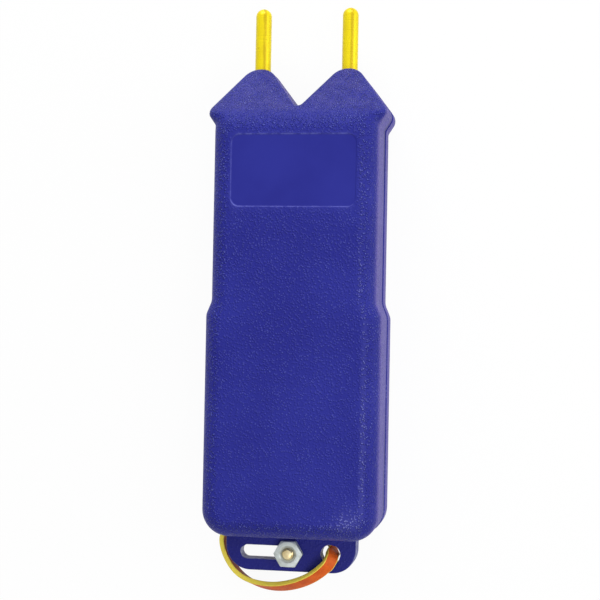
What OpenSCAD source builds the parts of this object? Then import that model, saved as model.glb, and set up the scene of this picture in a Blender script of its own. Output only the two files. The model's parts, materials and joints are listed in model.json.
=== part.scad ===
// Pocket stock prod: a moulded two-shell case with two brass prods on a notched head,
// a side button, two cells, a buzzer coil, and a slotted tab with a clamp screw and a leather loop.
// It lies on its back: +X to the right, +Y towards the prods, +Z out of the front face.

/* [Case] */
// Length of the case from its bottom edge to the tops of the humps
case_len = 160.5; // [157:0.5:165]
// Width of the battery end
lower_w = 59.8; // [59:0.1:62]
// Width of the upper half
upper_w = 56.1; // [55.4:0.1:57.5]
// Depth from the back to the front face
case_depth = 33.5; // [32.5:0.1:36]
// Height of the parting plane above the back
seam_h = 10.5; // [10:0.1:11.5]
// Thickness of the side walls
side_wall = 2.4; // [2:0.1:2.6]
// Thickness of the bottom wall that carries the tab
bottom_wall = 4.4; // [4.2:0.1:4.8]
// Thickness of the front wall
front_wall = 3; // [2.6:0.1:3.4]
// Thickness of the back wall
back_wall = 2.2; // [1.8:0.1:2.6]
// Radius of the two bottom corners
corner_r = 9; // [8:0.1:11]
// Radius of the cavity's corners
cavity_r = 6; // [5.5:0.1:6.5]
// Rounding of the front edge
front_edge_r = 6.5; // [5.5:0.1:6.8]
// Rounding of the back edge
back_edge_r = 2.5; // [2:0.1:3.5]
// Distance of the step in width over the partition above the cells
step_rise = 9.5; // [7.5:0.1:12.5]
// Length over which the width steps in
step_len = 4.5; // [4:0.1:8]
// Rounding of the step
step_r = 5; // [3:0.1:8]
// Width and depth of the groove along the parting line
seam_groove = 0.35; // [0.2:0.05:0.5]

/* [Head] */
// Distance of the neck below the hump tops
neck_from_top = 21.6; // [20.5:0.1:22.5]
// Rounding of the neck
neck_r = 2; // [1:0.1:3]
// Distance of the wing corners below the hump tops
wing_from_top = 16.7; // [16:0.1:17.5]
// Width across the wing corners before rounding
wing_w = 62.3; // [60.5:0.1:63.5]
// Rounding of the wing tips
wing_r = 3.3; // [1.5:0.1:4]
// Width of each hump top before rounding
hump_w = 6.5; // [6:0.1:8]
// Rounding of the hump tops, as a share of the fullest that their width takes
hump_round_share = 0.97; // [0.4:0.01:0.98]
// Depth of the notch between the humps before rounding
notch_depth = 16.2; // [14:0.1:17]
// Rounding of the notch bottom
notch_r = 2; // [0.8:0.1:2.5]
// Distance of the fold, where the faces start to slope, below the hump tops
fold_from_top = 20.7; // [20:0.1:21.5]
// Length over which the fold is rounded
fold_soft = 7; // [5:0.1:7]
// Half thickness of the humps at their tops
hump_half = 4.1; // [4:0.1:5.5]
// Rounding of the head's edges
head_edge_r = 1.2; // [0.8:0.1:1.5]

/* [Label recess] */
// Width of the bare recess for a label
label_w = 42.3; // [36:0.1:44]
// Height of the recess
label_h = 24.3; // [20:0.1:26]
// Distance of the recess below the hump tops
label_from_top = 25.3; // [24.5:0.1:27]
// Corner radius of the recess
label_r = 3; // [2:0.1:4]
// Depth of the recess
label_depth = 0.4; // [0.2:0.05:0.6]

/* [Prods] */
// Diameter of a prod
prod_d = 5.5; // [5:0.1:6]
// Distance between the prods
prod_pitch = 30.7; // [30:0.1:31.5]
// Length of a prod outside the case
prod_out = 21.7; // [19:0.1:25]
// Length of a prod inside the case
prod_in = 30.5; // [29.5:0.1:32.5]
// Diameter of the collar that holds a prod in its socket
collar_d = 9; // [8:0.1:9]
// Length of that collar
collar_len = 3; // [2:0.1:4]
// Distance of the collar below the hump tops
collar_from_top = 17.5; // [16.5:0.1:19.5]
// Clearance round a prod in its socket
prod_fit = 0.05; // [0.03:0.01:0.08]

/* [Tab] */
// How far the tab reaches below the case
tab_drop = 13.5; // [13:0.1:16]
// Reach of the tab to the left of the middle
tab_left = 24.6; // [24:0.1:26]
// Reach of the tab to the right of the middle
tab_right = 21.1; // [20.5:0.1:23]
// Radius of the tab's lower corners
tab_r = 8.5; // [7:0.1:9]
// Thickness of each of the tab's two layers
tab_layer = 2.75; // [2.4:0.05:2.8]
// Distance of the slot and hole line below the case
hole_line = 7.1; // [6.8:0.1:7.6]
// Width of the slot
slot_w = 4.6; // [4.5:0.1:4.8]
// Length of the slot
slot_len = 19.3; // [17:0.1:20]
// Place of the slot's right end, to the left of the middle
slot_end = 0; // [0:0.1:1]
// Diameter of the strap hole
strap_hole_d = 6.7; // [6.5:0.1:7]
// Place of the strap hole, to the right of the middle
strap_hole_x = 12.1; // [11.7:0.1:12.5]

/* [Clamp screw] */
// Diameter of the clamp screw
screw_d = 4.1; // [3.8:0.1:4.2]
// Diameter of its pan head
screw_head_d = 7.6; // [7:0.1:7.8]
// Height of its pan head
screw_head_h = 2.6; // [2.2:0.1:3]
// How far the screw stands out of the nut
screw_end = 0.5; // [0.2:0.1:1]
// Width of the nut across its flats
nut_af = 8.73; // [8:0.01:9]
// Thickness of the nut
nut_h = 3.18; // [3:0.01:3.5]
// Chamfer of the nut's corners
nut_chamfer = 0.5; // [0.3:0.1:0.6]

/* [Strap] */
// Width of the leather strap
strap_w = 4.5; // [4.2:0.1:4.6]
// Thickness of the strap
strap_t = 1.7; // [1.2:0.1:1.7]
// Diameter of the rivet's shank
rivet_d = 1.6; // [1.4:0.1:1.8]
// Diameter of the rivet's heads
rivet_head_d = 3.4; // [3:0.1:3.6]
// Height of the rivet's heads
rivet_head_h = 0.5; // [0.4:0.1:0.6]

/* [Trigger] */
// Distance of the button below the hump tops
button_from_top = 46.4; // [44.5:0.1:48.5]
// Diameter of the button
button_d = 8; // [7:0.1:8.4]
// How far the button stands out of the wall
button_out = 1.8; // [1.7:0.1:1.8]
// Travel of the button
button_travel = 1.6; // [1.4:0.1:1.6]
// Diameter of the button's flange
flange_d = 11; // [10.5:0.1:11.4]
// Thickness of the flange
flange_t = 1.6; // [1.4:0.1:1.8]
// Diameter of the button's stem
stem_d = 4; // [3.6:0.1:4.2]
// Diameter of the button spring's wire
button_wire = 0.5; // [0.4:0.05:0.55]
// Mean diameter of the button spring
button_coil_d = 6.4; // [6:0.1:7]

/* [Cells] */
// Play between a cell and the side wall
cell_play = 1; // [0.7:0.1:1.5]
// Compressed length of a cell spring
cell_spring_len = 10.5; // [9:0.1:11]
// Mean diameter of a cell spring
cell_coil_d = 13; // [11:0.1:15]
// Diameter of the cell spring's wire
cell_wire = 0.9; // [0.8:0.05:1]

/* [Buzzer] */
// Room between the coil former's end plates and the front wall
former_clear = 4.1; // [2:0.1:6]
// Diameter of the iron core
core_d = 8; // [7:0.1:8.4]
// Rim of the end plates round the winding
former_rim = 1; // [0.5:0.1:2]
// Gap between the core and the armature
air_gap = 0.8; // [0.7:0.05:1]
// Thickness of the circuit board
board_t = 1.6; // [1.4:0.1:1.8]

/* [Hidden] */
$fn = 48;
// Overrun of every cut past the face that it opens
overrun = 0.5;
// Steps of an outline's rounded corner, of a rounded edge, and of the edge between neck and wing
arc_steps = 5;
edge_steps = 5;
wing_steps = 4;
// Least radius of an outline corner that is set in
least_r = 0.3;
// Gap between pieces that move past each other, and between loose neighbours
gap = 0.3;
// Gap of a close seat
seat = 0.1;

// Places along the case
overall_len = prod_out + case_len + tab_drop;
y_tip = overall_len / 2;
y_top = y_tip - prod_out;
y_bottom = y_top - case_len;
y_neck = y_top - neck_from_top;
y_wing = y_top - wing_from_top;
y_fold = y_top - fold_from_top;
y_holes = y_bottom - hole_line;
y_button = y_top - button_from_top;

// Turns of the outline at the two ends of a hump top, and the rounding between them
outer_turn = atan2(wing_from_top, (wing_w - prod_pitch - hump_w) / 2);
inner_turn = atan2(notch_depth, (prod_pitch - hump_w) / 2);
hump_r = hump_round_share * hump_w / (tan(outer_turn / 2) + tan(inner_turn / 2));

// Inside of the case
lower_in = lower_w / 2 - side_wall;
upper_in = upper_w / 2 - side_wall;
cavity_front = case_depth - front_wall;
cavity_top = y_top - prod_in + collar_len + seat;

// Tab, slot and clamp
tab_front = seam_h + tab_layer;
tab_back = seam_h - tab_layer;
screw_x = -slot_end - slot_w / 2;
slot_far_x = screw_x - slot_len + slot_w;

// Strap loop: places that the middle of the strap passes, in plan from the middle of its hole, from
// the lapped end behind the tab, under the tab, up through the hole, over the tab's front and round
// below it; the second vector of each place runs across the strap
strap_route = [
    [[-31.5, 3.4, 2.5], [0, 0, 1]],
    [[-25.5, 3.4, 2.5], [0, 0, 1]],
    [[-19.5, 3.4, 2.5], [0, 0, 1]],
    [[-15, 3.4, 2.5], [0, 0, 1]],
    [[-11.5, 3.4, 2.5], [0, 0.1, 1]],
    [[-8, 4, 2.5], [0, 0.25, 0.95]],
    [[-4, 4, 2.5], [0, 0.6, 0.8]],
    [[-1, 3, 3.5], [0, 0.95, 0.3]],
    [[0.5, 1, 6], [-0.4, 0.9, 0]],
    [[0.5, 0.5, 9.5], [-0.8, 0.6, 0.1]],
    [[0.5, 0, 12.5], [-0.85, 0.5, 0.2]],
    [[0.5, -1, 15], [-0.75, 0.55, 0.4]],
    [[-0.5, -3, 16.5], [-0.6, 0.55, 0.6]],
    [[-2, -4.5, 16.5], [-0.55, 0.5, 0.7]],
    [[-4, -6.5, 16], [-0.55, 0.5, 0.65]],
    [[-7, -8.5, 14.5], [-0.6, 0.5, 0.65]],
    [[-11, -10.5, 13], [-0.55, 0.5, 0.65]],
    [[-15.5, -12, 10.5], [-0.5, 0.55, 0.7]],
    [[-20, -13, 8.5], [-0.45, 0.5, 0.75]],
    [[-24.5, -13, 6], [-0.35, 0.5, 0.8]],
    [[-28.5, -12.5, 4.5], [-0.2, 0.4, 0.9]],
    [[-32.5, -11, 3.5], [-0.1, 0.15, 1]],
    [[-35, -9, 3], [-0.1, 0, 1]],
    [[-37.5, -6, 2.5], [-0.15, 0, 1]],
    [[-39.5, -2, 2.5], [-0.2, 0, 1]],
    [[-40, 1.5, 2.5], [-0.25, 0, 1]],
    [[-40.5, 4, 2.5], [-0.15, 0, 1]],
    [[-39.5, 5.4, 2.5], [0, 0, 1]],
    [[-37, 5.4, 2.5], [0, 0, 1]],
    [[-30.5, 5.4, 2.5], [0, 0, 1]],
    [[-24.5, 5.4, 2.5], [0, 0, 1]],
    [[-20, 5.4, 2.5], [0, 0, 1]],
];
// Rings of the strap between two places of its route, and the cut corner of its section
strap_steps = 3;
strap_chamfer = 0.3;
// Rivet in the middle of the lap, between a place of the route's start and one of its end
lap_start_index = 1;
lap_end_index = len(strap_route) - 2;
rivet_at = (strap_route[lap_start_index][0] + strap_route[lap_end_index][0]) / 2;

// Trigger and switch
button_edge = 1.2;
button_z = seam_h + button_d / 2 + gap + button_edge;
wall_in_x = -upper_in;
button_spring_len = 3.9;
guide_x = wall_in_x + flange_t + button_spring_len;
guide_t = 1.5;
guide_w = 10;
lever_t = 0.6;
lever_w = 6;
lever_off = 1;
lever_x = guide_x + guide_t + lever_off;
stem_gap = gap;
lever_arm = 13.5;
lever_len = 18.5;
lever_swing = asin((button_travel - stem_gap + seat) / (lever_arm - stem_d / 2));
lever_eye_d = 3.6;
lever_pin_d = 1.6;
pin_fit = 0.05;
y_pivot = y_button - lever_arm;
lever_mid_x = lever_x + lever_t / 2;
switch_w = 10;
switch_t = 6.5;
lug_t = 2.2;
lug_cover = 0.7;
switch_top = button_z + lever_w / 2 + gap + lug_t + lug_cover;
contact_d = 3;
contact_strip = 0.5;
contact_arm = 16.5;
contact_w = 5;
contact_gap = lever_len * sin(lever_swing) + seat;
button_turns = 3;

// Places along the inside: the board lies under the head, the cells fill the rest, and the step follows them
board_w = 44;
board_len = 60;
board_clear = 0.6;
board_off = 5;
y_board = cavity_top - board_clear - board_len;
plate_t = 0.5;
partition_t = 1.6;
y_plate = y_bottom + bottom_wall + plate_t;
y_partition = y_board - board_off - partition_t;
y_cells_top = y_partition - plate_t;
y_step = y_partition + partition_t + step_rise;

// Cells and their contacts
cell_d = min(lower_in - gap - cell_play, cavity_front - back_wall - 2 * gap);
cell_len = y_cells_top - y_plate - cell_spring_len;
cell_z = back_wall + gap + cell_d / 2;
cell_x = (cell_d + 2 * gap) / 2;
cell_cap_d = 6.5;
cell_cap_h = 1.5;
cell_edge_r = 1;
plate_w = 12;
cell_turns = 4;
spring_clear = seat;

// Board and buzzer
rail_h = 0.6;
rail_w = 2;
board_z = back_wall + rail_h;
board_top = board_z + board_t;
coil_x = 9;
coil_off = 8;
core_out = 2;
armature_d = 8;
armature_t = 1.4;
reed_t = 0.4;
reed_contact_d = 2.4;
reed_contact_t = 0.6;
tip_gap = seat;
contact_screw_d = 3;
contact_screw_len = 11.5;
buzzer_clear = 1.2;
reed_room = core_out + air_gap + armature_t + reed_t + reed_contact_t + tip_gap;
former_w = cavity_front - board_top - former_clear;
former_len = board_len - coil_off - reed_room - contact_screw_len - buzzer_clear;
winding_d = former_w - 2 * former_rim;
coil_z = board_top + former_w / 2;
y_coil = y_board + coil_off;
former_end = 2;
former_tube_d = 11;
y_core_end = y_coil + former_len + core_out;
reed_w = 6;
reed_tail = 5;
reed_over = 6;
post_w = 5;
post_off = 1;
reed_pivot_x = coil_x - former_w / 2 - post_off;
y_reed = y_core_end + air_gap + armature_t;
contact_head_d = 5;
contact_head_h = 2;
contact_post_w = 6;
contact_post_t = 5;
contact_post_out = 2.5;
y_screw_tip = y_reed + reed_t + reed_contact_t + tip_gap;
condenser_d = 9;
condenser_clear = 3.1;
condenser_len = y_pivot - switch_w / 2 - y_board - condenser_clear;
condenser_x = -12;

// Outline of the case
right_corners = [
    [lower_w / 2, y_bottom],
    [lower_w / 2, y_step - step_len / 2],
    [upper_w / 2, y_step + step_len / 2],
    [upper_w / 2, y_neck],
    [wing_w / 2, y_wing],
    [(prod_pitch + hump_w) / 2, y_top],
    [(prod_pitch - hump_w) / 2, y_top],
];
right_radii = [corner_r, step_r, step_r, neck_r, wing_r, hump_r, hump_r];
neck_index = 3;
last_body_index = 2;
wing_index = 4;

function mirrored(values) = [for (i = [len(values) - 1 : -1 : 0]) values[i]];
function flipped(p) = [-p.x, p.y];
function both_sides(values, middle) = concat(values, [middle], mirrored(values));
outline = concat(
    right_corners,
    [[0, y_top - notch_depth]],
    [for (p = mirrored(right_corners)) flipped(p)]
);
outline_radii = both_sides(right_radii, notch_r);
function edge_radii(body_r, head_r) = both_sides(
    [body_r, body_r, body_r, body_r, (body_r + head_r) / 2, head_r, head_r],
    head_r
);

// Plane geometry
function unit(v) = v / norm(v);
function wrap(i, n) = (i + n) % n;
function turn(p, c, n) = cross(c - p, n - c);
function inward(a, b) = unit([a.y - b.y, b.x - a.x]);
function mitre(p, c, n) =
    let (first = inward(p, c), second = inward(c, n))
    (first + second) / (1 + first * second);
function set_in(insets) = let (n = len(outline)) [
    for (i = [0 : n - 1])
    outline[i] + insets[i] * mitre(outline[wrap(i - 1, n)], outline[i], outline[wrap(i + 1, n)])
];
function rounded(p, c, n, r) =
    let (
        back = unit(p - c),
        on = unit(n - c),
        half = acos(back * on) / 2,
        middle = c + unit(back + on) * r / sin(half),
        start = c + back * r / tan(half) - middle,
        sweep = sign(turn(p, c, n)) * (180 - 2 * half),
        from = atan2(start.y, start.x)
    )
    [
        for (k = [0 : arc_steps])
        let (a = from + sweep * k / arc_steps)
        middle + r * [cos(a), sin(a)]
    ];
function between(a, b, steps) = [for (k = [1 : steps - 1]) a + (b - a) * k / steps];

// Faces of the bands between rings of points
function band_faces(bands, count) = [
    for (j = [0 : bands - 1])
    for (k = [0 : count - 1])
    let (low = j * count, high = low + count, next = (k + 1) % count)
    [low + k, high + k, high + next, low + next]
];

// One ring of the case: the outline set in, as [x, y, rounding of the edge there]
function ring(insets, radii) =
    let (
        n = len(outline),
        c = set_in(insets),
        r = [
            for (i = [0 : n - 1])
            turn(outline[wrap(i - 1, n)], outline[i], outline[wrap(i + 1, n)]) > 0
                ? max(outline_radii[i] - insets[i], least_r)
                : outline_radii[i] + insets[i]
        ],
        arcs = [for (i = [0 : n - 1]) rounded(c[wrap(i - 1, n)], c[i], c[wrap(i + 1, n)], r[i])]
    )
    [
        for (i = [0 : n - 1])
        each concat(
            [for (p = arcs[i]) [p.x, p.y, radii[i]]],
            i == neck_index || i == n - 2 - neck_index
                ? between(
                    [arcs[i][arc_steps].x, arcs[i][arc_steps].y, radii[i]],
                    [arcs[i + 1][0].x, arcs[i + 1][0].y, radii[i + 1]],
                    wing_steps
                )
                : []
        )
    ];

// Height of a face over the parting plane: level up to the fold, then sloping to the hump tops
function face_h(y, depth) =
    let (
        slope = (depth - hump_half) / fold_from_top,
        start = y_fold - fold_soft / 2,
        on = y - start
    )
    on <= 0 ? depth
        : on < fold_soft ? depth - slope * on * on / (2 * fold_soft)
        : depth - slope * (on - fold_soft / 2);

// Half of the case as a loft of rings from below the parting plane to its face, cut off at that plane
module case_half(depth, edge_r) {
    radii = edge_radii(edge_r, head_edge_r);
    level = [for (r = radii) 0];
    groove = [for (r = radii) seam_groove + overrun];
    rounds = [
        for (k = [0 : edge_steps])
        let (a = 90 * k / edge_steps, flat = ring([for (r = radii) r * (1 - cos(a))], radii))
        [for (p = flat) [p.x, p.y, face_h(p.y, depth) - p.z * (1 - sin(a))]]
    ];
    rings = concat(
        [
            [for (p = ring(groove, radii)) [p.x, p.y, -overrun]],
            [for (p = ring(level, radii)) [p.x, p.y, seam_groove]],
        ],
        rounds
    );
    count = len(rings[0]);
    top = count * (len(rings) - 1);
    first = (last_body_index + 1) * (arc_steps + 1) - 1;
    last = (wing_index + 1) * (arc_steps + 1) + wing_steps - 2;
    sides = band_faces(len(rings) - 1, count);
    strips = [
        for (k = [first : last - 1])
        [top + k, top + count - 1 - k, top + count - 2 - k, top + k + 1]
    ];
    body_face = [for (k = [first : -1 : -first - 1]) top + wrap(k, count)];
    head_face = [for (k = [count - 1 - last : -1 : last]) top + k];
    base = [for (k = [0 : count - 1]) k];
    difference() {
        polyhedron(
            points = [for (r = rings) each r],
            faces = concat(sides, strips, [base, body_face, head_face]),
            convexity = 6
        );
        translate([-case_len, -case_len, -2 * overrun])
            cube([2 * case_len, 2 * case_len, 2 * overrun]);
    }
}

// Plate with rounded corners, standing on the plane z = 0, from one corner to the opposite one
module rounded_plate(from, to, r, h) {
    translate([from.x + r, from.y, 0])
        cube([to.x - from.x - 2 * r, to.y - from.y, h]);
    translate([from.x, from.y + r, 0])
        cube([to.x - from.x, to.y - from.y - 2 * r, h]);
    for (x = [from.x + r, to.x - r], y = [from.y + r, to.y - r])
        translate([x, y, 0])
            cylinder(r = r, h = h);
}

module cylinder_x(d, h) {
    rotate([0, 90, 0])
        cylinder(d = d, h = h);
}

module cylinder_y(d, h) {
    rotate([-90, 0, 0])
        cylinder(d = d, h = h);
}

// Round piece turned about an axis along +Y from a half profile of [radius, place] points
module turned_y(profile) {
    rotate([-90, 0, 0])
        rotate_extrude()
            polygon(profile);
}

// Solid swept through rings of points, closed at both ends
module swept(rings) {
    count = len(rings[0]);
    last = len(rings) - 1;
    polyhedron(
        points = [for (r = rings) each r],
        faces = concat(
            [[for (k = [0 : count - 1]) k]],
            band_faces(last, count),
            [[for (k = [count - 1 : -1 : 0]) last * count + k]]
        ),
        convexity = 10
    );
}

// Smooth curve through places, with a number of steps between two of them
function smooth(a, b, c, d, t) =
    ((2 * b) + (c - a) * t + (2 * a - 5 * b + 4 * c - d) * t * t + (3 * b - a - 3 * c + d) * t * t * t) / 2;
function curve(points, steps) = let (n = len(points) - 1) concat(
    [
        for (i = [0 : n - 1])
        for (k = [0 : steps - 1])
        smooth(points[max(i - 1, 0)], points[i], points[i + 1], points[min(i + 2, n)], k / steps)
    ],
    [points[n]]
);
function along(line, i) = unit(line[min(i + 1, len(line) - 1)] - line[max(i - 1, 0)]);

// Rings of a strap: a section with cut corners, square to the way it runs
function strap_rings(line, across) = [
    for (i = [0 : len(line) - 1])
    let (
        on = along(line, i),
        side = unit(across[i] - on * (on * across[i])),
        thick = cross(on, side),
        w = strap_w / 2,
        t = strap_t / 2,
        c = strap_chamfer,
        section = [
            [w, c - t], [w, t - c], [w - c, t], [c - w, t],
            [-w, t - c], [-w, c - t], [c - w, -t], [w - c, -t],
        ]
    )
    [for (q = section) line[i] + side * q.x + thick * q.y]
];

// Rings of a coil spring about +Y that starts at the origin
coil_sides = 6;
coil_rings = 8;
function coil_rings_y(mean_d, wire, turns, height) =
    let (rise = height - wire, last = turns * coil_rings)
    [
        for (i = [0 : last])
        let (a = 360 * i / coil_rings, out = [cos(a), 0, -sin(a)], middle = wire / 2 + rise * i / last)
        [
            for (k = [0 : coil_sides - 1])
            let (b = 360 * k / coil_sides)
            out * (mean_d / 2 + wire / 2 * cos(b)) + [0, middle + wire / 2 * sin(b), 0]
        ]
    ];

// Case shells
module slot_and_hole() {
    translate([slot_far_x, y_holes, 0])
        cylinder(d = slot_w, h = case_depth);
    translate([screw_x, y_holes, 0])
        cylinder(d = slot_w, h = case_depth);
    translate([slot_far_x, y_holes - slot_w / 2, 0])
        cube([screw_x - slot_far_x, slot_w, case_depth]);
    translate([strap_hole_x, y_holes, 0])
        cylinder(d = strap_hole_d, h = case_depth);
}

// One layer of the tab, standing on the plane z = 0, its root stepped clear of the parting plane
module tab() {
    difference() {
        rounded_plate(
            [-tab_left, y_bottom - tab_drop],
            [tab_right, y_bottom + 2 * tab_r],
            tab_r,
            tab_layer
        );
        translate([-tab_left - overrun, y_bottom, -overrun])
            cube([tab_left + tab_right + 2 * overrun, 2 * tab_r + overrun, seam_groove + overrun]);
    }
}

module prod_sockets() {
    for (x = [-prod_pitch / 2, prod_pitch / 2]) {
        translate([x, cavity_top - overrun, seam_h])
            cylinder_y(prod_d + 2 * prod_fit, y_top - cavity_top + 2 * overrun);
        translate([x, y_top - collar_from_top - seat, seam_h])
            cylinder_y(collar_d + 2 * prod_fit, collar_len + 2 * seat);
    }
}

module cavity(z, h) {
    lower_top = y_step - step_len / 2;
    translate([0, 0, z])
        rounded_plate([-lower_in, y_bottom + bottom_wall], [lower_in, lower_top], cavity_r, h);
    translate([-lower_in, lower_top - cavity_r - overrun, z])
        cube([2 * lower_in, cavity_r + overrun, h]);
    translate([-upper_in, lower_top - overrun, z])
        cube([2 * upper_in, cavity_top - lower_top + overrun, h]);
}

module stem_guide() {
    difference() {
        translate([guide_x, y_button - guide_w / 2, button_z - guide_w / 2])
            cube([guide_t, guide_w, cavity_front - button_z + guide_w / 2 + overrun]);
        translate([guide_x - overrun, y_button, button_z])
            cylinder_x(stem_d + 2 * gap, guide_t + 2 * overrun);
    }
}

module front_shell() {
    label_top = y_top - label_from_top;
    label_low = [-label_w / 2, label_top - label_h];
    label_high = [label_w / 2, label_top];
    color("#2d2d91") {
        difference() {
            translate([0, 0, seam_h]) {
                case_half(case_depth - seam_h, front_edge_r);
                tab();
            }
            cavity(seam_h - overrun, cavity_front - seam_h + overrun);
            prod_sockets();
            slot_and_hole();
            translate([0, 0, case_depth - label_depth])
                rounded_plate(label_low, label_high, label_r, front_wall);
            translate([wall_in_x - side_wall - overrun, y_button, button_z])
                cylinder_x(button_d + 2 * gap, side_wall + 2 * overrun);
        }
        stem_guide();
    }
}

module rear_shell() {
    color("#2d2d91") {
        difference() {
            translate([0, 0, seam_h])
                mirror([0, 0, 1]) {
                    case_half(seam_h, back_edge_r);
                    tab();
                }
            cavity(back_wall, seam_h - back_wall + overrun);
            prod_sockets();
            slot_and_hole();
        }
        for (x = [-board_w / 2 + rail_w, board_w / 2 - 2 * rail_w])
            translate([x, y_board, back_wall])
                cube([rail_w, board_len, rail_h]);
    }
}

// Prods
module prod(x) {
    r = prod_d / 2;
    base = -prod_in;
    collar = -collar_from_top;
    color("#e8d21c")
        translate([x, y_top, seam_h]) {
            translate([0, base, 0])
                cylinder_y(prod_d, prod_in + prod_out - r);
            translate([0, prod_out - r, 0])
                sphere(r = r);
            translate([0, collar, 0])
                cylinder_y(collar_d, collar_len);
        }
}

module left_prod() {
    prod(-prod_pitch / 2);
}

module right_prod() {
    prod(prod_pitch / 2);
}

// Clamp
module clamp_screw() {
    color("#c9b873")
        translate([screw_x, y_holes, 0]) {
            translate([0, 0, tab_back])
                cylinder(d = screw_d, h = 2 * tab_layer + nut_h + screw_end);
            translate([0, 0, tab_back - screw_head_h])
                cylinder(d1 = screw_head_d - screw_head_h, d2 = screw_head_d, h = screw_head_h);
        }
}

module clamp_nut() {
    corner_d = nut_af / cos(30);
    color("#b9bfc2")
        translate([screw_x, y_holes, tab_front])
            difference() {
                intersection() {
                    cylinder(d = corner_d, h = nut_h, $fn = 6);
                    rotate_extrude()
                        polygon([
                            [0, 0],
                            [corner_d / 2 - nut_chamfer, 0],
                            [corner_d / 2, nut_chamfer / 2],
                            [corner_d / 2, nut_h - nut_chamfer / 2],
                            [corner_d / 2 - nut_chamfer, nut_h],
                            [0, nut_h],
                        ]);
                }
                translate([0, 0, -overrun])
                    cylinder(d = screw_d + 2 * pin_fit, h = nut_h + 2 * overrun);
            }
}

// Strap
module hang_strap() {
    line = curve([for (p = strap_route) p[0]], strap_steps);
    across = curve([for (p = strap_route) p[1]], strap_steps);
    color("#d9641e")
        translate([strap_hole_x, y_holes, 0])
            swept(strap_rings(line, across));
}

module strap_rivet() {
    half = strap_t + 2 * seat;
    color("#c2a24a")
        translate([strap_hole_x, y_holes, 0])
            translate(rivet_at) {
                translate([0, -half, 0])
                    cylinder_y(rivet_d, 2 * half);
                for (y = [-half - rivet_head_h, half])
                    translate([0, y, 0])
                        cylinder_y(rivet_head_d, rivet_head_h);
            }
}

// Trigger
module trigger_button() {
    r = button_d / 2;
    cap_r = (r * r + button_out * button_out) / (2 * button_out);
    tip_x = lever_x - stem_gap;
    color("#30303a")
        translate([0, y_button, button_z]) {
            translate([wall_in_x, 0, 0])
                cylinder_x(flange_d, flange_t);
            translate([wall_in_x - side_wall, 0, 0])
                cylinder_x(button_d, side_wall + flange_t);
            intersection() {
                translate([wall_in_x - side_wall - button_out + cap_r, 0, 0])
                    sphere(r = cap_r);
                translate([wall_in_x - side_wall - button_out, 0, 0])
                    cylinder_x(button_d, button_out);
            }
            translate([wall_in_x, 0, 0])
                cylinder_x(stem_d, tip_x - wall_in_x);
        }
}

module trigger_spring() {
    from = guide_x - button_spring_len + spring_clear;
    length = button_spring_len - 2 * spring_clear;
    color("#c8ccd0")
        translate([from, y_button, button_z])
            rotate([0, 0, -90])
                swept(coil_rings_y(button_coil_d, button_wire, button_turns, length));
}

// Switch
module switch_lever() {
    bottom = button_z - lever_w / 2;
    color("#c98a4b") {
        difference() {
            union() {
                translate([lever_x, y_pivot, bottom])
                    cube([lever_t, lever_len, lever_w]);
                translate([lever_mid_x, y_pivot, bottom])
                    cylinder(d = lever_eye_d, h = lever_w);
            }
            translate([lever_mid_x, y_pivot, bottom - overrun])
                cylinder(d = lever_pin_d + 2 * pin_fit, h = lever_w + 2 * overrun);
        }
    }
}

module lever_pin() {
    color("#b9bfc2")
        translate([lever_mid_x, y_pivot, button_z - lever_w / 2 - gap - lug_t])
            cylinder(d = lever_pin_d, h = lever_w + 2 * gap + 2 * lug_t);
}

module switch_block() {
    body_x = lever_mid_x + lever_eye_d / 2 + 2 * gap;
    reach = body_x - lever_mid_x + lever_eye_d / 2;
    color("#6b3a22") {
        translate([body_x, y_pivot - switch_w / 2, board_top])
            cube([switch_t, switch_w, switch_top - board_top]);
        for (z = [button_z - lever_w / 2 - gap - lug_t, button_z + lever_w / 2 + gap])
            difference() {
                translate([body_x - reach, y_pivot - lever_eye_d / 2, z])
                    cube([reach, lever_eye_d, lug_t]);
                translate([lever_mid_x, y_pivot, z - overrun])
                    cylinder(d = lever_pin_d + 2 * pin_fit, h = lug_t + 2 * overrun);
            }
    }
}

module fixed_contact() {
    face_x = lever_x + lever_t + contact_gap;
    middle = y_pivot + contact_arm;
    color("#c98a4b") {
        translate([face_x, middle - contact_w / 2, board_top])
            cube([contact_strip, contact_w, button_z + contact_d / 2 - board_top]);
        translate([face_x, middle - contact_w / 2, board_top])
            cube([contact_w, contact_w, contact_strip]);
    }
}

// Cells and contacts
module cell(x, y, up) {
    r = cell_d / 2;
    body_len = cell_len - cell_cap_h;
    color("#3d4a3f")
        translate([x, y + (up ? 0 : cell_len), cell_z])
            mirror([0, up ? 0 : 1, 0])
                turned_y([
                    [0, 0],
                    [r - cell_edge_r, 0],
                    [r, cell_edge_r],
                    [r, body_len - cell_edge_r],
                    [r - cell_edge_r, body_len],
                    [cell_cap_d / 2, body_len],
                    [cell_cap_d / 2, cell_len],
                    [0, cell_len],
                ]);
}

module left_cell() {
    cell(-cell_x, y_plate + cell_spring_len, true);
}

module right_cell() {
    cell(cell_x, y_plate, false);
}

module cell_bridge() {
    color("#c8ccd0")
        translate([-cell_x - plate_w / 2, y_plate - plate_t, cell_z - plate_w / 2])
            cube([2 * cell_x + plate_w, plate_t, plate_w]);
}

module cell_spring(x, y) {
    color("#c8ccd0")
        translate([x, y + spring_clear, cell_z])
            swept(coil_rings_y(cell_coil_d, cell_wire, cell_turns, cell_spring_len - 2 * spring_clear));
}

module bridge_spring() {
    cell_spring(-cell_x, y_plate);
}

module minus_spring() {
    cell_spring(cell_x, y_plate + cell_len);
}

module cell_contact(x) {
    color("#c8ccd0")
        translate([x - plate_w / 2, y_cells_top, cell_z - plate_w / 2])
            cube([plate_w, plate_t, plate_w]);
}

module plus_contact() {
    cell_contact(-cell_x);
}

module minus_contact() {
    cell_contact(cell_x);
}

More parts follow.
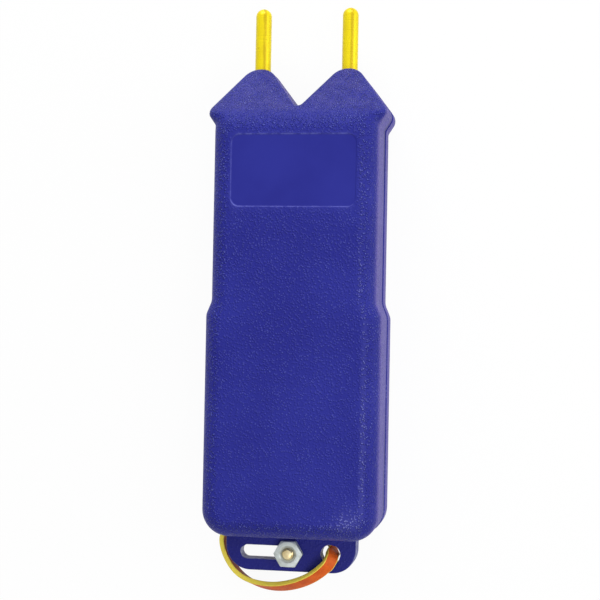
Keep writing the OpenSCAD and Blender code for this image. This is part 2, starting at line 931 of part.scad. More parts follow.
module cell_partition() {
    color("#8a5a33")
        translate([gap - lower_in, y_partition, back_wall + gap])
            cube([2 * lower_in - 2 * gap, partition_t, cavity_front - back_wall - 2 * gap]);
}

// Board and buzzer
module circuit_board() {
    color("#8a5a33")
        translate([-board_w / 2, y_board, board_z])
            cube([board_w, board_len, board_t]);
}

module coil_former() {
    color("#1d1d20")
        difference() {
            union() {
                for (y = [y_coil, y_coil + former_len - former_end])
                    translate([coil_x - former_w / 2, y, board_top])
                        cube([former_w, former_end, former_w]);
                translate([coil_x, y_coil, coil_z])
                    cylinder_y(former_tube_d, former_len);
            }
            translate([coil_x, y_coil - overrun, coil_z])
                cylinder_y(core_d + 2 * pin_fit, former_len + 2 * overrun);
        }
}

module coil_winding() {
    from = y_coil + former_end + seat;
    length = former_len - 2 * former_end - 2 * seat;
    color("#9c4a1e")
        difference() {
            translate([coil_x, from, coil_z])
                cylinder_y(winding_d, length);
            translate([coil_x, from - overrun, coil_z])
                cylinder_y(former_tube_d + 2 * seat, length + 2 * overrun);
        }
}

module coil_core() {
    color("#70757a")
        translate([coil_x, y_coil - core_out, coil_z])
            cylinder_y(core_d, former_len + 2 * core_out);
}

module buzzer_reed() {
    reach = coil_x - reed_pivot_x + reed_over;
    color("#aab0b5") {
        translate([reed_pivot_x - reed_tail, y_reed, coil_z - reed_w / 2])
            cube([reed_tail + reach, reed_t, reed_w]);
        translate([coil_x, y_reed - armature_t, coil_z])
            cylinder_y(armature_d, armature_t);
        translate([coil_x, y_reed + reed_t, coil_z])
            cylinder_y(reed_contact_d, reed_contact_t);
    }
}

module reed_post() {
    color("#b08d3c")
        translate([reed_pivot_x - post_w, y_reed - post_w, board_top])
            cube([post_w, post_w, coil_z + reed_w / 2 - board_top]);
}

module contact_post() {
    color("#b08d3c")
        difference() {
            translate([coil_x - contact_post_w / 2, y_screw_tip + contact_post_out, board_top])
                cube([contact_post_w, contact_post_t, coil_z + contact_screw_d - board_top]);
            translate([coil_x, y_screw_tip, coil_z])
                cylinder_y(contact_screw_d + 2 * pin_fit, contact_screw_len);
        }
}

module contact_screw() {
    color("#c8ccd0")
        translate([coil_x, y_screw_tip, coil_z]) {
            cylinder_y(contact_screw_d, contact_screw_len);
            translate([0, contact_screw_len - contact_head_h, 0])
                cylinder_y(contact_head_d, contact_head_h);
        }
}

module condenser() {
    color("#b5a642")
        translate([condenser_x, y_board + seat, board_top + seat + condenser_d / 2])
            cylinder_y(condenser_d, condenser_len);
}

front_shell();
rear_shell();
left_prod();
right_prod();
clamp_screw();
clamp_nut();
hang_strap();
strap_rivet();
trigger_button();
trigger_spring();
switch_lever();
lever_pin();
switch_block();
fixed_contact();
left_cell();
right_cell();
cell_bridge();
bridge_spring();
plus_contact();
minus_contact();
minus_spring();
cell_partition();
circuit_board();
coil_former();
coil_winding();
coil_core();
buzzer_reed();
reed_post();
contact_post();
contact_screw();
condenser();
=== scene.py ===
import json
import math

import bmesh
import bpy
import numpy as np
from mathutils import Matrix, Vector
from mathutils.geometry import delaunay_2d_cdt


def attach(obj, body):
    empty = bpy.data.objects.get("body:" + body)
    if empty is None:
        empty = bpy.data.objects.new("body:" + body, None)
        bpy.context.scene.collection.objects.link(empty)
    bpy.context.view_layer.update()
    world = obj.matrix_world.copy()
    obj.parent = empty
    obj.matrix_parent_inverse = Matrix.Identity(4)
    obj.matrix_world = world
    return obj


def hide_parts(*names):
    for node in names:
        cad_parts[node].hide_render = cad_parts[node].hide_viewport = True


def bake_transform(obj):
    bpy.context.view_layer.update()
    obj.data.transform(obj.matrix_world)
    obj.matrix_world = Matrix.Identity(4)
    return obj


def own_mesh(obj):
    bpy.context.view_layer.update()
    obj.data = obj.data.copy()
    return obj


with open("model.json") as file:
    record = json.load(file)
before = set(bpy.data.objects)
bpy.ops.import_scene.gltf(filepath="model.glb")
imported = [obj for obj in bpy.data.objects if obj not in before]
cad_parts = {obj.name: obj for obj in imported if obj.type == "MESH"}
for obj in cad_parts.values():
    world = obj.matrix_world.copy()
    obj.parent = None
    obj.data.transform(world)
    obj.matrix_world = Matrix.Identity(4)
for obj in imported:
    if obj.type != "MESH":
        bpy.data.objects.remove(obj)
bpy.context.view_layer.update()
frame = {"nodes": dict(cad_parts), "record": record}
scene = bpy.context.scene
MM = 0.001

# Sizes of the object, in millimetres
CASE_LEN, DEPTH, SEAM = 160.5, 33.5, 10.5
LOWER_W, UPPER_W = 59.8, 56.1
SIDE_WALL, BOTTOM_WALL, FRONT_WALL, BACK_WALL = 2.4, 4.4, 3.0, 2.2
CORNER_R, CAVITY_R, FRONT_R, BACK_R = 9.0, 6.0, 6.5, 2.5
STEP_FROM_BOTTOM, STEP_LEN, STEP_R = 77.0, 4.5, 5.0
NECK_FROM_TOP, NECK_R, WING_FROM_TOP, WING_W, WING_R = 21.6, 2.0, 16.7, 62.3, 3.3
HUMP_W, HUMP_ROUND_SHARE, NOTCH_DEPTH, NOTCH_R = 6.5, 0.97, 16.2, 2.0
FOLD_FROM_TOP, FOLD_SOFT, HUMP_HALF, HEAD_R = 20.7, 7.0, 4.1, 1.2
LABEL_W, LABEL_H, LABEL_FROM_TOP, LABEL_R, LABEL_DEPTH = 42.3, 24.3, 25.3, 3.0, 0.2
PROD_D, PROD_PITCH, PROD_OUT, PROD_IN = 5.5, 30.7, 21.7, 30.5
COLLAR_D, COLLAR_LEN, COLLAR_FROM_TOP = 9.0, 3.0, 17.5
TAB_DROP, TAB_LEFT, TAB_RIGHT, TAB_R, TAB_LAYER = 13.5, 24.6, 21.1, 8.5, 2.75
HOLE_LINE, SLOT_W, SLOT_LEN, SLOT_END, HOLE_D, HOLE_X = 7.1, 4.6, 19.3, 0.0, 6.7, 12.1
SCREW_D, SCREW_HEAD_D, SCREW_HEAD_H, SCREW_END = 4.1, 7.6, 2.6, 0.5
NUT_AF, NUT_H = 8.73, 3.18
STRAP_W, STRAP_T = 4.5, 1.7
BUTTON_FROM_TOP, BUTTON_D, BUTTON_OUT, FLANGE_D, FLANGE_T, STEM_D = 46.4, 8.0, 1.8, 11.0, 1.6, 4.0
BUTTON_GAP, BUTTON_ABOVE = 0.3, 1.2

Y_TIP = (PROD_OUT + CASE_LEN + TAB_DROP) / 2
Y_TOP = Y_TIP - PROD_OUT
Y_BOTTOM = Y_TOP - CASE_LEN
Y_STEP = Y_BOTTOM + STEP_FROM_BOTTOM
Y_FOLD = Y_TOP - FOLD_FROM_TOP
Y_LABEL = Y_TOP - LABEL_FROM_TOP - LABEL_H / 2
Y_HOLES = Y_BOTTOM - HOLE_LINE
Y_BUTTON = Y_TOP - BUTTON_FROM_TOP
BUTTON_Z = SEAM + BUTTON_D / 2 + BUTTON_GAP + BUTTON_ABOVE
SCREW_X = -SLOT_END - SLOT_W / 2
SLOT_FAR_X = SCREW_X - SLOT_LEN + SLOT_W
CAVITY_TOP = Y_TOP - PROD_IN + COLLAR_LEN + 0.1
WALL_IN_X = SIDE_WALL - UPPER_W / 2


def smoothstep(a, b, v):
    t = np.clip((np.asarray(v, float) - a) / (b - a), 0, 1)
    return t * t * (3 - 2 * t)


# ---------------------------------------------------------------- camera
FOCAL_PX, FRAME_PX, SENSOR = 1390.0, 600.0, 36.0
CAM_AT = Vector((79.2888, -14.0292, 487.5974)) * MM
YAW, PITCH, ROLL = (math.radians(a) for a in (9.5117, 1.1859, 1.0975))
cam_data = bpy.data.cameras.new("camera")
cam_data.sensor_width = SENSOR
cam_data.lens = FOCAL_PX / FRAME_PX * SENSOR
cam_data.clip_start = 0.01
cam_data.clip_end = 20
camera = bpy.data.objects.new("camera", cam_data)
scene.collection.objects.link(camera)
camera.matrix_world = (
    Matrix.Translation(CAM_AT)
    @ Matrix.Rotation(YAW, 4, "Y")
    @ Matrix.Rotation(PITCH, 4, "X")
    @ Matrix.Rotation(ROLL, 4, "Z")
)
scene.camera = camera


# ---------------------------------------------------------------- meshes
def new_mesh(name, verts, faces, sharp=None):
    """A mesh from points in millimetres: flat, or smooth but for edges sharper than an angle."""
    mesh = bpy.data.meshes.new(name)
    mesh.from_pydata([tuple(float(c) * MM for c in v) for v in verts], [], [tuple(f) for f in faces])
    bm = bmesh.new()
    bm.from_mesh(mesh)
    bmesh.ops.recalc_face_normals(bm, faces=bm.faces)
    if sharp is not None:
        for f in bm.faces:
            f.smooth = True
        for e in bm.edges:
            if len(e.link_faces) == 2 and e.calc_face_angle(0) > math.radians(sharp):
                e.smooth = False
    bm.to_mesh(mesh)
    bm.free()
    return mesh


def make_object(name, verts, faces, body, nodes, slot, sharp):
    """A piece in place of CAD nodes that rides on a body, or on none."""
    obj = bpy.data.objects.new(name, new_mesh(name, verts, faces, sharp))
    scene.collection.objects.link(obj)
    if body:
        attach(obj, body)
    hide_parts(*nodes)
    return obj


class Points:
    """Points and faces of one mesh under construction."""

    def __init__(self):
        self.verts = []
        self.faces = []

    def add(self, pts):
        start = len(self.verts)
        self.verts.extend([tuple(p) for p in pts])
        return list(range(start, start + len(pts)))

    def band(self, a, b):
        n = len(a)
        for k in range(n):
            j = (k + 1) % n
            self.faces.append((a[k], a[j], b[j], b[k]))

    def bands(self, rows):
        for a, b in zip(rows, rows[1:]):
            self.band(a, b)

    def ends(self, rows):
        self.faces += [tuple(rows[0]), tuple(rows[-1][::-1])]

    def fill(self, loops, inner=(), drop=(), height=None):
        """Triangles between closed loops of points, with loose points inside and holes left open."""
        ids = [i for loop in loops for i in loop]
        edges = []
        start = 0
        for loop in loops:
            n = len(loop)
            edges += [(start + k, start + (k + 1) % n) for k in range(n)]
            start += n
        flat = [(self.verts[i][0], self.verts[i][1]) for i in ids]
        if inner:
            ids += self.add([(p[0], p[1], height(p[0], p[1])) for p in inner])
            flat += [(float(p[0]), float(p[1])) for p in inner]
        out = delaunay_2d_cdt([Vector(p) for p in flat], edges, [], 1, 1e-5)
        for f in out[2]:
            own = [out[3][i][0] for i in f]
            mid = np.mean([flat[i] for i in own], 0)
            if any(inside(mid, poly) for poly in drop):
                continue
            self.faces.append(tuple(ids[i] for i in own))


def joined(parts):
    """Points and faces of several surfaces as one."""
    verts, faces, start = [], [], 0
    for v, f in parts:
        verts.append(v)
        faces += [tuple(i + start for i in g) for g in f]
        start += len(v)
    return np.concatenate(verts), faces


def inside(p, poly):
    """Whether a point lies within a closed loop."""
    poly = np.asarray(poly, float)[:, :2]
    x0, y0 = poly[:, 0], poly[:, 1]
    x1, y1 = np.roll(x0, -1), np.roll(y0, -1)
    cross = (y0 > p[1]) != (y1 > p[1])
    with np.errstate(divide="ignore", invalid="ignore"):
        at = x0 + (p[1] - y0) / (y1 - y0) * (x1 - x0)
    return bool(np.count_nonzero(cross & (at > p[0])) % 2)


def on_circle(cx, cy, r, a):
    return cx + r * math.cos(a), cy + r * math.sin(a)


def rounded_rect(x0, y0, x1, y1, r, steps, sides):
    """Loop of a rectangle with rounded corners, counter-clockwise, with points along its sides."""
    pts = []
    corners = [(x1 - r, y0 + r, -90), (x1 - r, y1 - r, 0), (x0 + r, y1 - r, 90), (x0 + r, y0 + r, 180)]
    for i, (cx, cy, a0) in enumerate(corners):
        arc = [on_circle(cx, cy, r, math.radians(a0 + 90 * k / steps)) for k in range(steps + 1)]
        pts += arc
        nx, ny, na = corners[(i + 1) % 4]
        nxt = on_circle(nx, ny, r, math.radians(na))
        n = sides[i % 2]
        for k in range(1, n):
            t = k / n
            pts.append((arc[-1][0] + (nxt[0] - arc[-1][0]) * t, arc[-1][1] + (nxt[1] - arc[-1][1]) * t))
    return np.array(pts)


def stadium(x0, x1, y, r, steps=14):
    """Loop of a slot with round ends, counter-clockwise."""
    right = [on_circle(x1, y, r, a) for a in np.linspace(-math.pi / 2, math.pi / 2, steps + 1)]
    left = [on_circle(x0, y, r, a) for a in np.linspace(math.pi / 2, 1.5 * math.pi, steps + 1)]
    return np.array(right + left)


def circle(x, y, r, n=48):
    a = np.linspace(0, 2 * math.pi, n, endpoint=False)
    return np.stack([x + r * np.cos(a), y + r * np.sin(a)], 1)


def lathe(profile, n, axis, at):
    """Closed surface turned about X or Y from (radius, place along the axis) points."""
    p = Points()
    rows = []
    for r, h in profile:
        if r < 1e-6:
            rows.append(p.add([(0, 0, h)]))
        else:
            rows.append(p.add([(x, y, h) for x, y in circle(0, 0, r, n)]))
    for a, b in zip(rows, rows[1:]):
        if len(a) == 1:
            p.faces += [(a[0], b[(k + 1) % n], b[k]) for k in range(n)]
        elif len(b) == 1:
            p.faces += [(a[k], a[(k + 1) % n], b[0]) for k in range(n)]
        else:
            p.band(a, b)
    v = np.array(p.verts)
    if axis == "Y":
        v = np.stack([v[:, 0], v[:, 2], -v[:, 1]], 1)
    else:
        v = np.stack([v[:, 2], v[:, 1], -v[:, 0]], 1)
    return v + np.array(at, float), p.faces


# ---------------------------------------------------------------- case
right_corners = [
    (LOWER_W / 2, Y_BOTTOM),
    (LOWER_W / 2, Y_STEP - STEP_LEN / 2),
    (UPPER_W / 2, Y_STEP + STEP_LEN / 2),
    (UPPER_W / 2, Y_TOP - NECK_FROM_TOP),
    (WING_W / 2, Y_TOP - WING_FROM_TOP),
    ((PROD_PITCH + HUMP_W) / 2, Y_TOP),
    ((PROD_PITCH - HUMP_W) / 2, Y_TOP),
]
outer_turn = math.atan2(WING_FROM_TOP, (WING_W - PROD_PITCH - HUMP_W) / 2)
inner_turn = math.atan2(NOTCH_DEPTH, (PROD_PITCH - HUMP_W) / 2)
HUMP_R = HUMP_ROUND_SHARE * HUMP_W / (math.tan(outer_turn / 2) + math.tan(inner_turn / 2))
right_radii = [CORNER_R, STEP_R, STEP_R, NECK_R, WING_R, HUMP_R, HUMP_R]
outline = np.array(right_corners + [(0, Y_TOP - NOTCH_DEPTH)] + [(-x, y) for x, y in right_corners[::-1]])
outline_radii = right_radii + [NOTCH_R] + right_radii[::-1]
ARC_STEPS = 10
SIDE_STEP = 1.3
# Least radius of a corner that is set in, and the share of a side that its two roundings may take up
MIN_R, ARC_SHARE = 0.3, 0.98


def edge_radii(body_r):
    """Rounding of the face's edge at each corner of the outline."""
    half = [body_r] * 4 + [(body_r + HEAD_R) / 2, HEAD_R, HEAD_R]
    return np.array(half + [HEAD_R] + half[::-1])


def unit(v):
    return v / np.linalg.norm(v)


def cross2(a, b):
    return a[0] * b[1] - a[1] * b[0]


n_corners = len(outline)
prev_c, next_c = np.roll(outline, 1, 0), np.roll(outline, -1, 0)
turns = [cross2(outline[i] - prev_c[i], next_c[i] - outline[i]) for i in range(n_corners)]
side_counts = [max(2, int(round(np.linalg.norm(next_c[i] - outline[i]) / SIDE_STEP))) for i in range(n_corners)]


def half_angle(p, c, n):
    return math.acos(np.clip(unit(p - c) @ unit(n - c), -1, 1)) / 2


def corner_arc(p, c, n, r):
    """Points of the rounding at corner c between its neighbours p and n."""
    back, on = unit(p - c), unit(n - c)
    half = half_angle(p, c, n)
    middle = c + unit(back + on) * r / math.sin(half)
    start = c + back * r / math.tan(half) - middle
    sweep = np.sign(cross2(c - p, n - c)) * (math.pi - 2 * half)
    a0 = math.atan2(start[1], start[0])
    return [np.array(on_circle(*middle, r, a0 + sweep * k / ARC_STEPS)) for k in range(ARC_STEPS + 1)]


def mitre(p, c, n):
    """How corner c moves when both its sides are set in by 1."""
    first = unit(np.array([p[1] - c[1], c[0] - p[0]]))
    second = unit(np.array([c[1] - n[1], n[0] - c[0]]))
    return (first + second) / (1 + first @ second)


mitres = np.array([mitre(prev_c[i], outline[i], next_c[i]) for i in range(n_corners)])


def ring(insets, radii):
    """The outline set in at each corner, as rows of x, y and the edge's rounding there."""
    c = outline + mitres * np.asarray(insets, float)[:, None]
    before, after = np.roll(c, 1, 0), np.roll(c, -1, 0)
    r = []
    for radius, inset, turn in zip(outline_radii, insets, turns):
        r.append(max(radius - inset, MIN_R) if turn > 0 else radius + inset)
    for i in range(n_corners):
        j = (i + 1) % n_corners
        used = sum(r[k] / math.tan(half_angle(before[k], c[k], after[k])) for k in (i, j))
        room = ARC_SHARE * np.linalg.norm(c[j] - c[i])
        if used > room:
            r[i], r[j] = r[i] * room / used, r[j] * room / used
    arcs = [corner_arc(before[i], c[i], after[i], r[i]) for i in range(n_corners)]
    out = []
    for i in range(n_corners):
        j = (i + 1) % n_corners
        out += [(p[0], p[1], radii[i]) for p in arcs[i]]
        a, b = arcs[i][-1], arcs[j][0]
        n = side_counts[i]
        for k in range(1, n):
            t = k / n
            q = a + (b - a) * t
            out.append((q[0], q[1], radii[i] + (radii[j] - radii[i]) * t))
    return np.array(out)


def face_height(y, depth):
    """Height of a face above the parting plane: level, then over the fold and down the head's slope."""
    slope = (depth - HUMP_HALF) / FOLD_FROM_TOP
    on = np.asarray(y, float) - (Y_FOLD - FOLD_SOFT / 2)
    soft = depth - slope * on * on / (2 * FOLD_SOFT)
    far = depth - slope * (on - FOLD_SOFT / 2)
    return np.where(on <= 0, depth, np.where(on < FOLD_SOFT, soft, far))


def seam_gap(y):
    """Half the gap of the parting line: open at the head and at the bottom, tight in between."""
    y = np.asarray(y, float)
    g = 0.07 + 0.20 * smoothstep(2, 58, y) + 0.14 * smoothstep(-58, -80, y)
    return g + 0.12 * np.exp(-((y + 30.5) / 2.4) ** 2)


def label_drop(x, y):
    """Depth of the label recess at a place of the front face, and how far outside its rim that is."""
    hx, hy = LABEL_W / 2 - LABEL_R, LABEL_H / 2 - LABEL_R
    qx, qy = np.abs(x) - hx, np.abs(np.asarray(y) - Y_LABEL) - hy
    d = np.hypot(np.maximum(qx, 0), np.maximum(qy, 0)) + np.minimum(np.maximum(qx, qy), 0) - LABEL_R
    return LABEL_DEPTH * (1 - smoothstep(-0.23, 0.11, d)), d


def cavity_loop():
    """Outline of the cavity in both shells."""
    lower_in, upper_in = LOWER_W / 2 - SIDE_WALL, UPPER_W / 2 - SIDE_WALL
    low, top = Y_BOTTOM + BOTTOM_WALL, Y_STEP - STEP_LEN / 2
    quarter = np.linspace(-math.pi / 2, 0, 7)
    arc = [on_circle(lower_in - CAVITY_R, low + CAVITY_R, CAVITY_R, a) for a in quarter]
    right = arc + [(lower_in, top), (upper_in, top), (upper_in, CAVITY_TOP)]
    return np.array(right + [(-x, y) for x, y in right[::-1]])


# How far the rear shell stands out on the right, and the places between which that starts
MISMATCH, MISMATCH_FROM, MISMATCH_TO = 0.35, 18, 26


def mismatch(v, front):
    """The rear shell stands out a little on the right, as mouldings from two tools do."""
    if not front:
        v[:, 0] += MISMATCH * smoothstep(MISMATCH_FROM, MISMATCH_TO, v[:, 0])
    return v


# Rows of points across the label's rim, by their distance outside it
LABEL_ROWS = (0.3, 0.2, 0.11, 0.03, -0.05, -0.14, -0.23, -0.33, -0.6)
PARTING_IN, LIP = 1.1, 0.15
GRID_X, GRID_CLEAR = 2.0, 0.3


def case_shell(front):
    """One shell: outside, rounded edges, face, parting face and cavity."""
    depth = DEPTH - SEAM if front else SEAM
    radii = edge_radii(FRONT_R if front else BACK_R)
    p = Points()
    zero = np.zeros(n_corners)
    base = ring(zero, radii)
    gap = seam_gap(base[:, 1])

    def row(r, z):
        return p.add(np.stack([r[:, 0], r[:, 1], np.broadcast_to(z, len(r))], 1))

    def height(x, y):
        return float(face_height(y, depth) - (label_drop(x, y)[0] if front else 0))

    parting = row(ring(zero + PARTING_IN, radii), 0.0)
    rows = [parting]
    for inset, z in ((PARTING_IN - 0.05, gap), (0.14, gap), (0.04, gap + LIP - 0.1), (0.0, gap + LIP)):
        rows.append(row(ring(zero + inset, radii), z))
    foot = face_height(base[:, 1], depth) - base[:, 2]
    for t in (0.3, 0.6, 0.85):
        rows.append(row(base, (gap + LIP) * (1 - t) + foot * t))
    edge_rows = 12 if front else 7
    for k in range(edge_rows + 1):
        a = math.pi / 2 * k / edge_rows
        r = ring(radii * (1 - math.cos(a)), radii)
        rows.append(row(r, face_height(r[:, 1], depth) - r[:, 2] * (1 - math.sin(a))))
    p.bands(rows)
    rim = rows[-1]
    rim_pts = np.array([p.verts[i] for i in rim])
    loops = [rim]
    if front:
        hx, hy = LABEL_W / 2, LABEL_H / 2
        for out in LABEL_ROWS:
            q = rounded_rect(
                -hx - out, Y_LABEL - hy - out, hx + out, Y_LABEL + hy + out, LABEL_R + out, 10, (16, 28)
            )
            loops.append(p.add([(x, y, height(x, y)) for x, y in q]))
    fold_from, fold_to = Y_FOLD - FOLD_SOFT / 2, Y_FOLD + FOLD_SOFT / 2
    ys = np.concatenate([
        np.arange(Y_BOTTOM + 2, fold_from - 0.5, 2.6),
        np.arange(fold_from, fold_to + 0.1, 0.5),
        np.arange(fold_to + 1.4, Y_TOP, 1.6),
    ])
    taken = np.array([p.verts[i][:2] for loop in loops for i in loop])
    grid = []
    for j, y in enumerate(ys):
        for x in np.arange(-30, 30.1, GRID_X) + (j % 2) * GRID_X / 2:
            if np.min(np.hypot(taken[:, 0] - x, taken[:, 1] - y)) > GRID_CLEAR and inside((x, y), rim_pts):
                grid.append((x, y))
    p.fill(loops, grid, (), height)
    hollow = cavity_loop()
    low = p.add([(x, y, 0.0) for x, y in hollow])
    roof = (DEPTH - FRONT_WALL - SEAM) if front else (SEAM - BACK_WALL)
    high = p.add([(x, y, roof) for x, y in hollow])
    p.fill([parting, low], (), [hollow])
    p.band(low, high)
    p.fill([high])
    v = np.array(p.verts)
    v[:, 2] = SEAM + v[:, 2] if front else SEAM - v[:, 2]
    return mismatch(v, front), p.faces


# Where the tab's layers end inside the case, and the roundings of their edges
TAB_IN, TAB_EDGE, CUT_EDGE, TAB_LIP, TAB_GAP = 3.0, 0.7, 0.35, 0.12, 0.06


def tab_layer(front):
    """One layer of the tab with its slot and hole, edges rounded."""
    p = Points()

    def outer(d):
        return rounded_rect(
            -TAB_LEFT + d, Y_BOTTOM - TAB_DROP + d, TAB_RIGHT - d, Y_BOTTOM + 20 - d, TAB_R - d, 16, (24, 20)
        )

    def slot_cut(d):
        return stadium(SLOT_FAR_X, SCREW_X, Y_HOLES, SLOT_W / 2 + d)

    def hole_cut(d):
        return circle(HOLE_X, Y_HOLES, HOLE_D / 2 + d)

    def wall(shape, top_r):
        rows = [p.add([(x, y, TAB_GAP) for x, y in shape(TAB_LIP)])]
        rows.append(p.add([(x, y, TAB_GAP + TAB_LIP) for x, y in shape(0.0)]))
        for k in range(7):
            a = math.pi / 2 * k / 6
            z = TAB_LAYER - top_r * (1 - math.sin(a))
            rows.append(p.add([(x, y, z) for x, y in shape(top_r * (1 - math.cos(a)))]))
        p.bands(rows)
        return rows[0], rows[-1]

    loops = [wall(outer, TAB_EDGE), wall(slot_cut, CUT_EDGE), wall(hole_cut, CUT_EDGE)]
    holes = [slot_cut(0.0), hole_cut(0.0)]
    for side in zip(*loops):
        p.fill(list(side), (), holes)
    v = np.array(p.verts)
    # the end inside the case is drawn in flat
    y_in = Y_BOTTOM + TAB_IN
    far = v[:, 1] > y_in
    v[far, 1] = y_in + (v[far, 1] - y_in) * 0.01
    v[:, 2] = SEAM + v[:, 2] if front else SEAM - v[:, 2]
    return mismatch(v, front), p.faces


front_piece, rear_piece = (
    make_object(
        side + "_case", *joined([case_shell(side == "front"), tab_layer(side == "front")]),
        "case", [side + "_shell"], "blue_plastic", 38,
    )
    for side in ("front", "rear")
)

# Round hole of the button, with a chamfered rim, cut through the left wall
hole_r = BUTTON_D / 2 + BUTTON_GAP
hole_profile = [(0, -2.0), (hole_r + 2.4, -2.0), (hole_r + 0.4, 0.0), (hole_r, 0.5), (hole_r, 3.4), (0, 3.4)]
cut_v, cut_f = lathe(hole_profile, 64, "X", (-UPPER_W / 2, Y_BUTTON, BUTTON_Z))
cutter = bpy.data.objects.new("button_cut", new_mesh("button_cut", cut_v, cut_f))
scene.collection.objects.link(cutter)
cut = front_piece.modifiers.new("button_hole", "BOOLEAN")
cut.operation = "DIFFERENCE"
cut.solver = "EXACT"
cut.use_self = True
cut.object = cutter
bpy.context.view_layer.update()
graph = bpy.context.evaluated_depsgraph_get()
cut_result = bpy.data.meshes.new_from_object(front_piece.evaluated_get(graph))
front_piece.modifiers.clear()
front_piece.data = cut_result
bpy.data.objects.remove(cutter)

# Middle of the patch of lit grain at the lower right corner
CORNER_LIT = (20.9, -78.3)


def vectors(mesh, name):
    out = np.zeros(len(mesh.vertices) * 3)
    mesh.vertices.foreach_get(name, out)
    return out.reshape(-1, 3)


def set_mark(obj, name, values):
    obj.data.attributes.new(name, "FLOAT", "POINT").data.foreach_set("value", values.astype(np.float32))


def mark_surface(obj, front):
    """Masks for the case's material, from 0 to 1 at each point:
    grain, where the moulded grain runs; relief, where it stands out, on fold, roundings and slopes, also setting
    painted highlights on the pebbles;
    rub, pale edges, partly wear and partly painted light, more on the right-facing side; trim, a painted highlight
    along the label's rim; tab, painted darker as shade; wall, the walls of slot and hole and the tab's right end,
    painted pale as lit;
    scuff, a painted reflection on the right wall; glint, lit grain beside it and at its lower corner; haze, a
    painted sheen on the head's slopes;
    seam, painted shade along the parting line on the right."""
    x, y, z = vectors(obj.data, "co").T / MM
    nx, ny, nz = vectors(obj.data, "normal").T
    tilt = np.degrees(np.arccos(np.clip(np.abs(nz), 0, 1)))
    above = z - SEAM
    grain, rim_highlight = np.ones(len(x)), np.zeros(len(x))
    if front:
        # painted highlight along the label recess's rim, strongest along its top edge
        hx, hy, up = LABEL_W / 2, LABEL_H / 2, y - Y_LABEL
        d = label_drop(x, y)[1]
        on_face = smoothstep(DEPTH - 1.5, DEPTH - 0.8, z)
        grain *= 1 - on_face * (1 - smoothstep(-0.1, 0.7, d))
        top, foot = (smoothstep(hy - 1.2, hy - 0.4, s * up) for s in (1, -1))
        left = smoothstep(hx - 1.2, hx - 0.4, -x)
        corner = np.exp(-((x + hx - 0.9) ** 2 + (up + hy - 0.9) ** 2) / 5)
        part = np.clip(0.8 * top + 0.4 * foot + 0.28 * left + 0.5 * corner + 0.03, 0, 1)
        rim_highlight = on_face * np.exp(-((d / 0.2) ** 2)) * part
    # where the tab hangs below the case; the material also paints it darker as shade
    tab = smoothstep(Y_BOTTOM - 0.2, Y_BOTTOM - 1.0, y)
    # walls of slot and hole and the tab's right end, which the material paints pale as lit
    slot_d = np.hypot(x - np.clip(x, SLOT_FAR_X, SCREW_X), y - Y_HOLES) - SLOT_W / 2
    hole_d = np.hypot(x - HOLE_X, y - Y_HOLES) - HOLE_D / 2
    right_end = 0.5 * tab * smoothstep(0.35, 0.8, nx) * smoothstep(TAB_RIGHT - 6, TAB_RIGHT - 2, x)
    wall = np.maximum(tab * (1 - smoothstep(0.02, 0.28, np.minimum(slot_d, hole_d))), right_end)
    grain *= 1 - 0.55 * tab
    grain *= smoothstep(0.25, 1.2, np.abs(above)) * 0.9 + 0.1
    slope = smoothstep(Y_FOLD + FOLD_SOFT / 2 - 1, Y_FOLD + FOLD_SOFT / 2 + 2, y)
    relief = smoothstep(4, 12, tilt) * (1 - 0.6 * smoothstep(28, 42, tilt) * (1 - slope)) * (1 + 0.3 * slope)
    # painted sheen on the head's slopes, which face the light
    head_sheen = slope * smoothstep(0.5, 0.8, nz) * smoothstep(6, 14, tilt)
    right = smoothstep(0.3, 0.6, nx) * (1 - tab)
    # painted reflection on the right wall
    right_sheen = right * smoothstep(60, 80, tilt)
    strip = np.exp(-(((tilt - 13) / 7) ** 2)) * smoothstep(0.04, 0.11, 0.9 * nx - 0.45 * ny)
    strip *= smoothstep(6, 20, x) * (0.25 + 0.75 * smoothstep(20, -70, y)) * (1 - slope) * (1 - tab)
    patch = np.exp(-((x - CORNER_LIT[0]) ** 2 + (y - CORNER_LIT[1]) ** 2) / 18)
    glint = np.maximum(strip, patch * smoothstep(40, 20, tilt) * (nz > 0))
    # painted shade just above the parting line on the right
    seam_shade = right * smoothstep(60, 75, tilt) * smoothstep(2.6, 1.4, above) * smoothstep(-0.3, 0.0, above)
    seam_shade *= 0.3 + 0.7 * np.maximum(smoothstep(25, 45, y), smoothstep(-35, -65, y))
    # pale edges, more on the right-facing side: partly wear, partly painted light
    rub_and_sheen = smoothstep(30, 60, tilt) * (1 - smoothstep(80, 88, tilt)) * smoothstep(-0.2, 0.6, nx)
    for name, values in (
        ("grain", grain), ("rub_and_sheen", rub_and_sheen), ("rim_highlight", rim_highlight), ("wall", wall), ("relief", relief), ("right_sheen", right_sheen),
        ("glint", glint), ("seam_shade", seam_shade), ("tab", tab), ("head_sheen", head_sheen),
    ):
        set_mark(obj, name, values)


mark_surface(front_piece, True)
mark_surface(rear_piece, False)

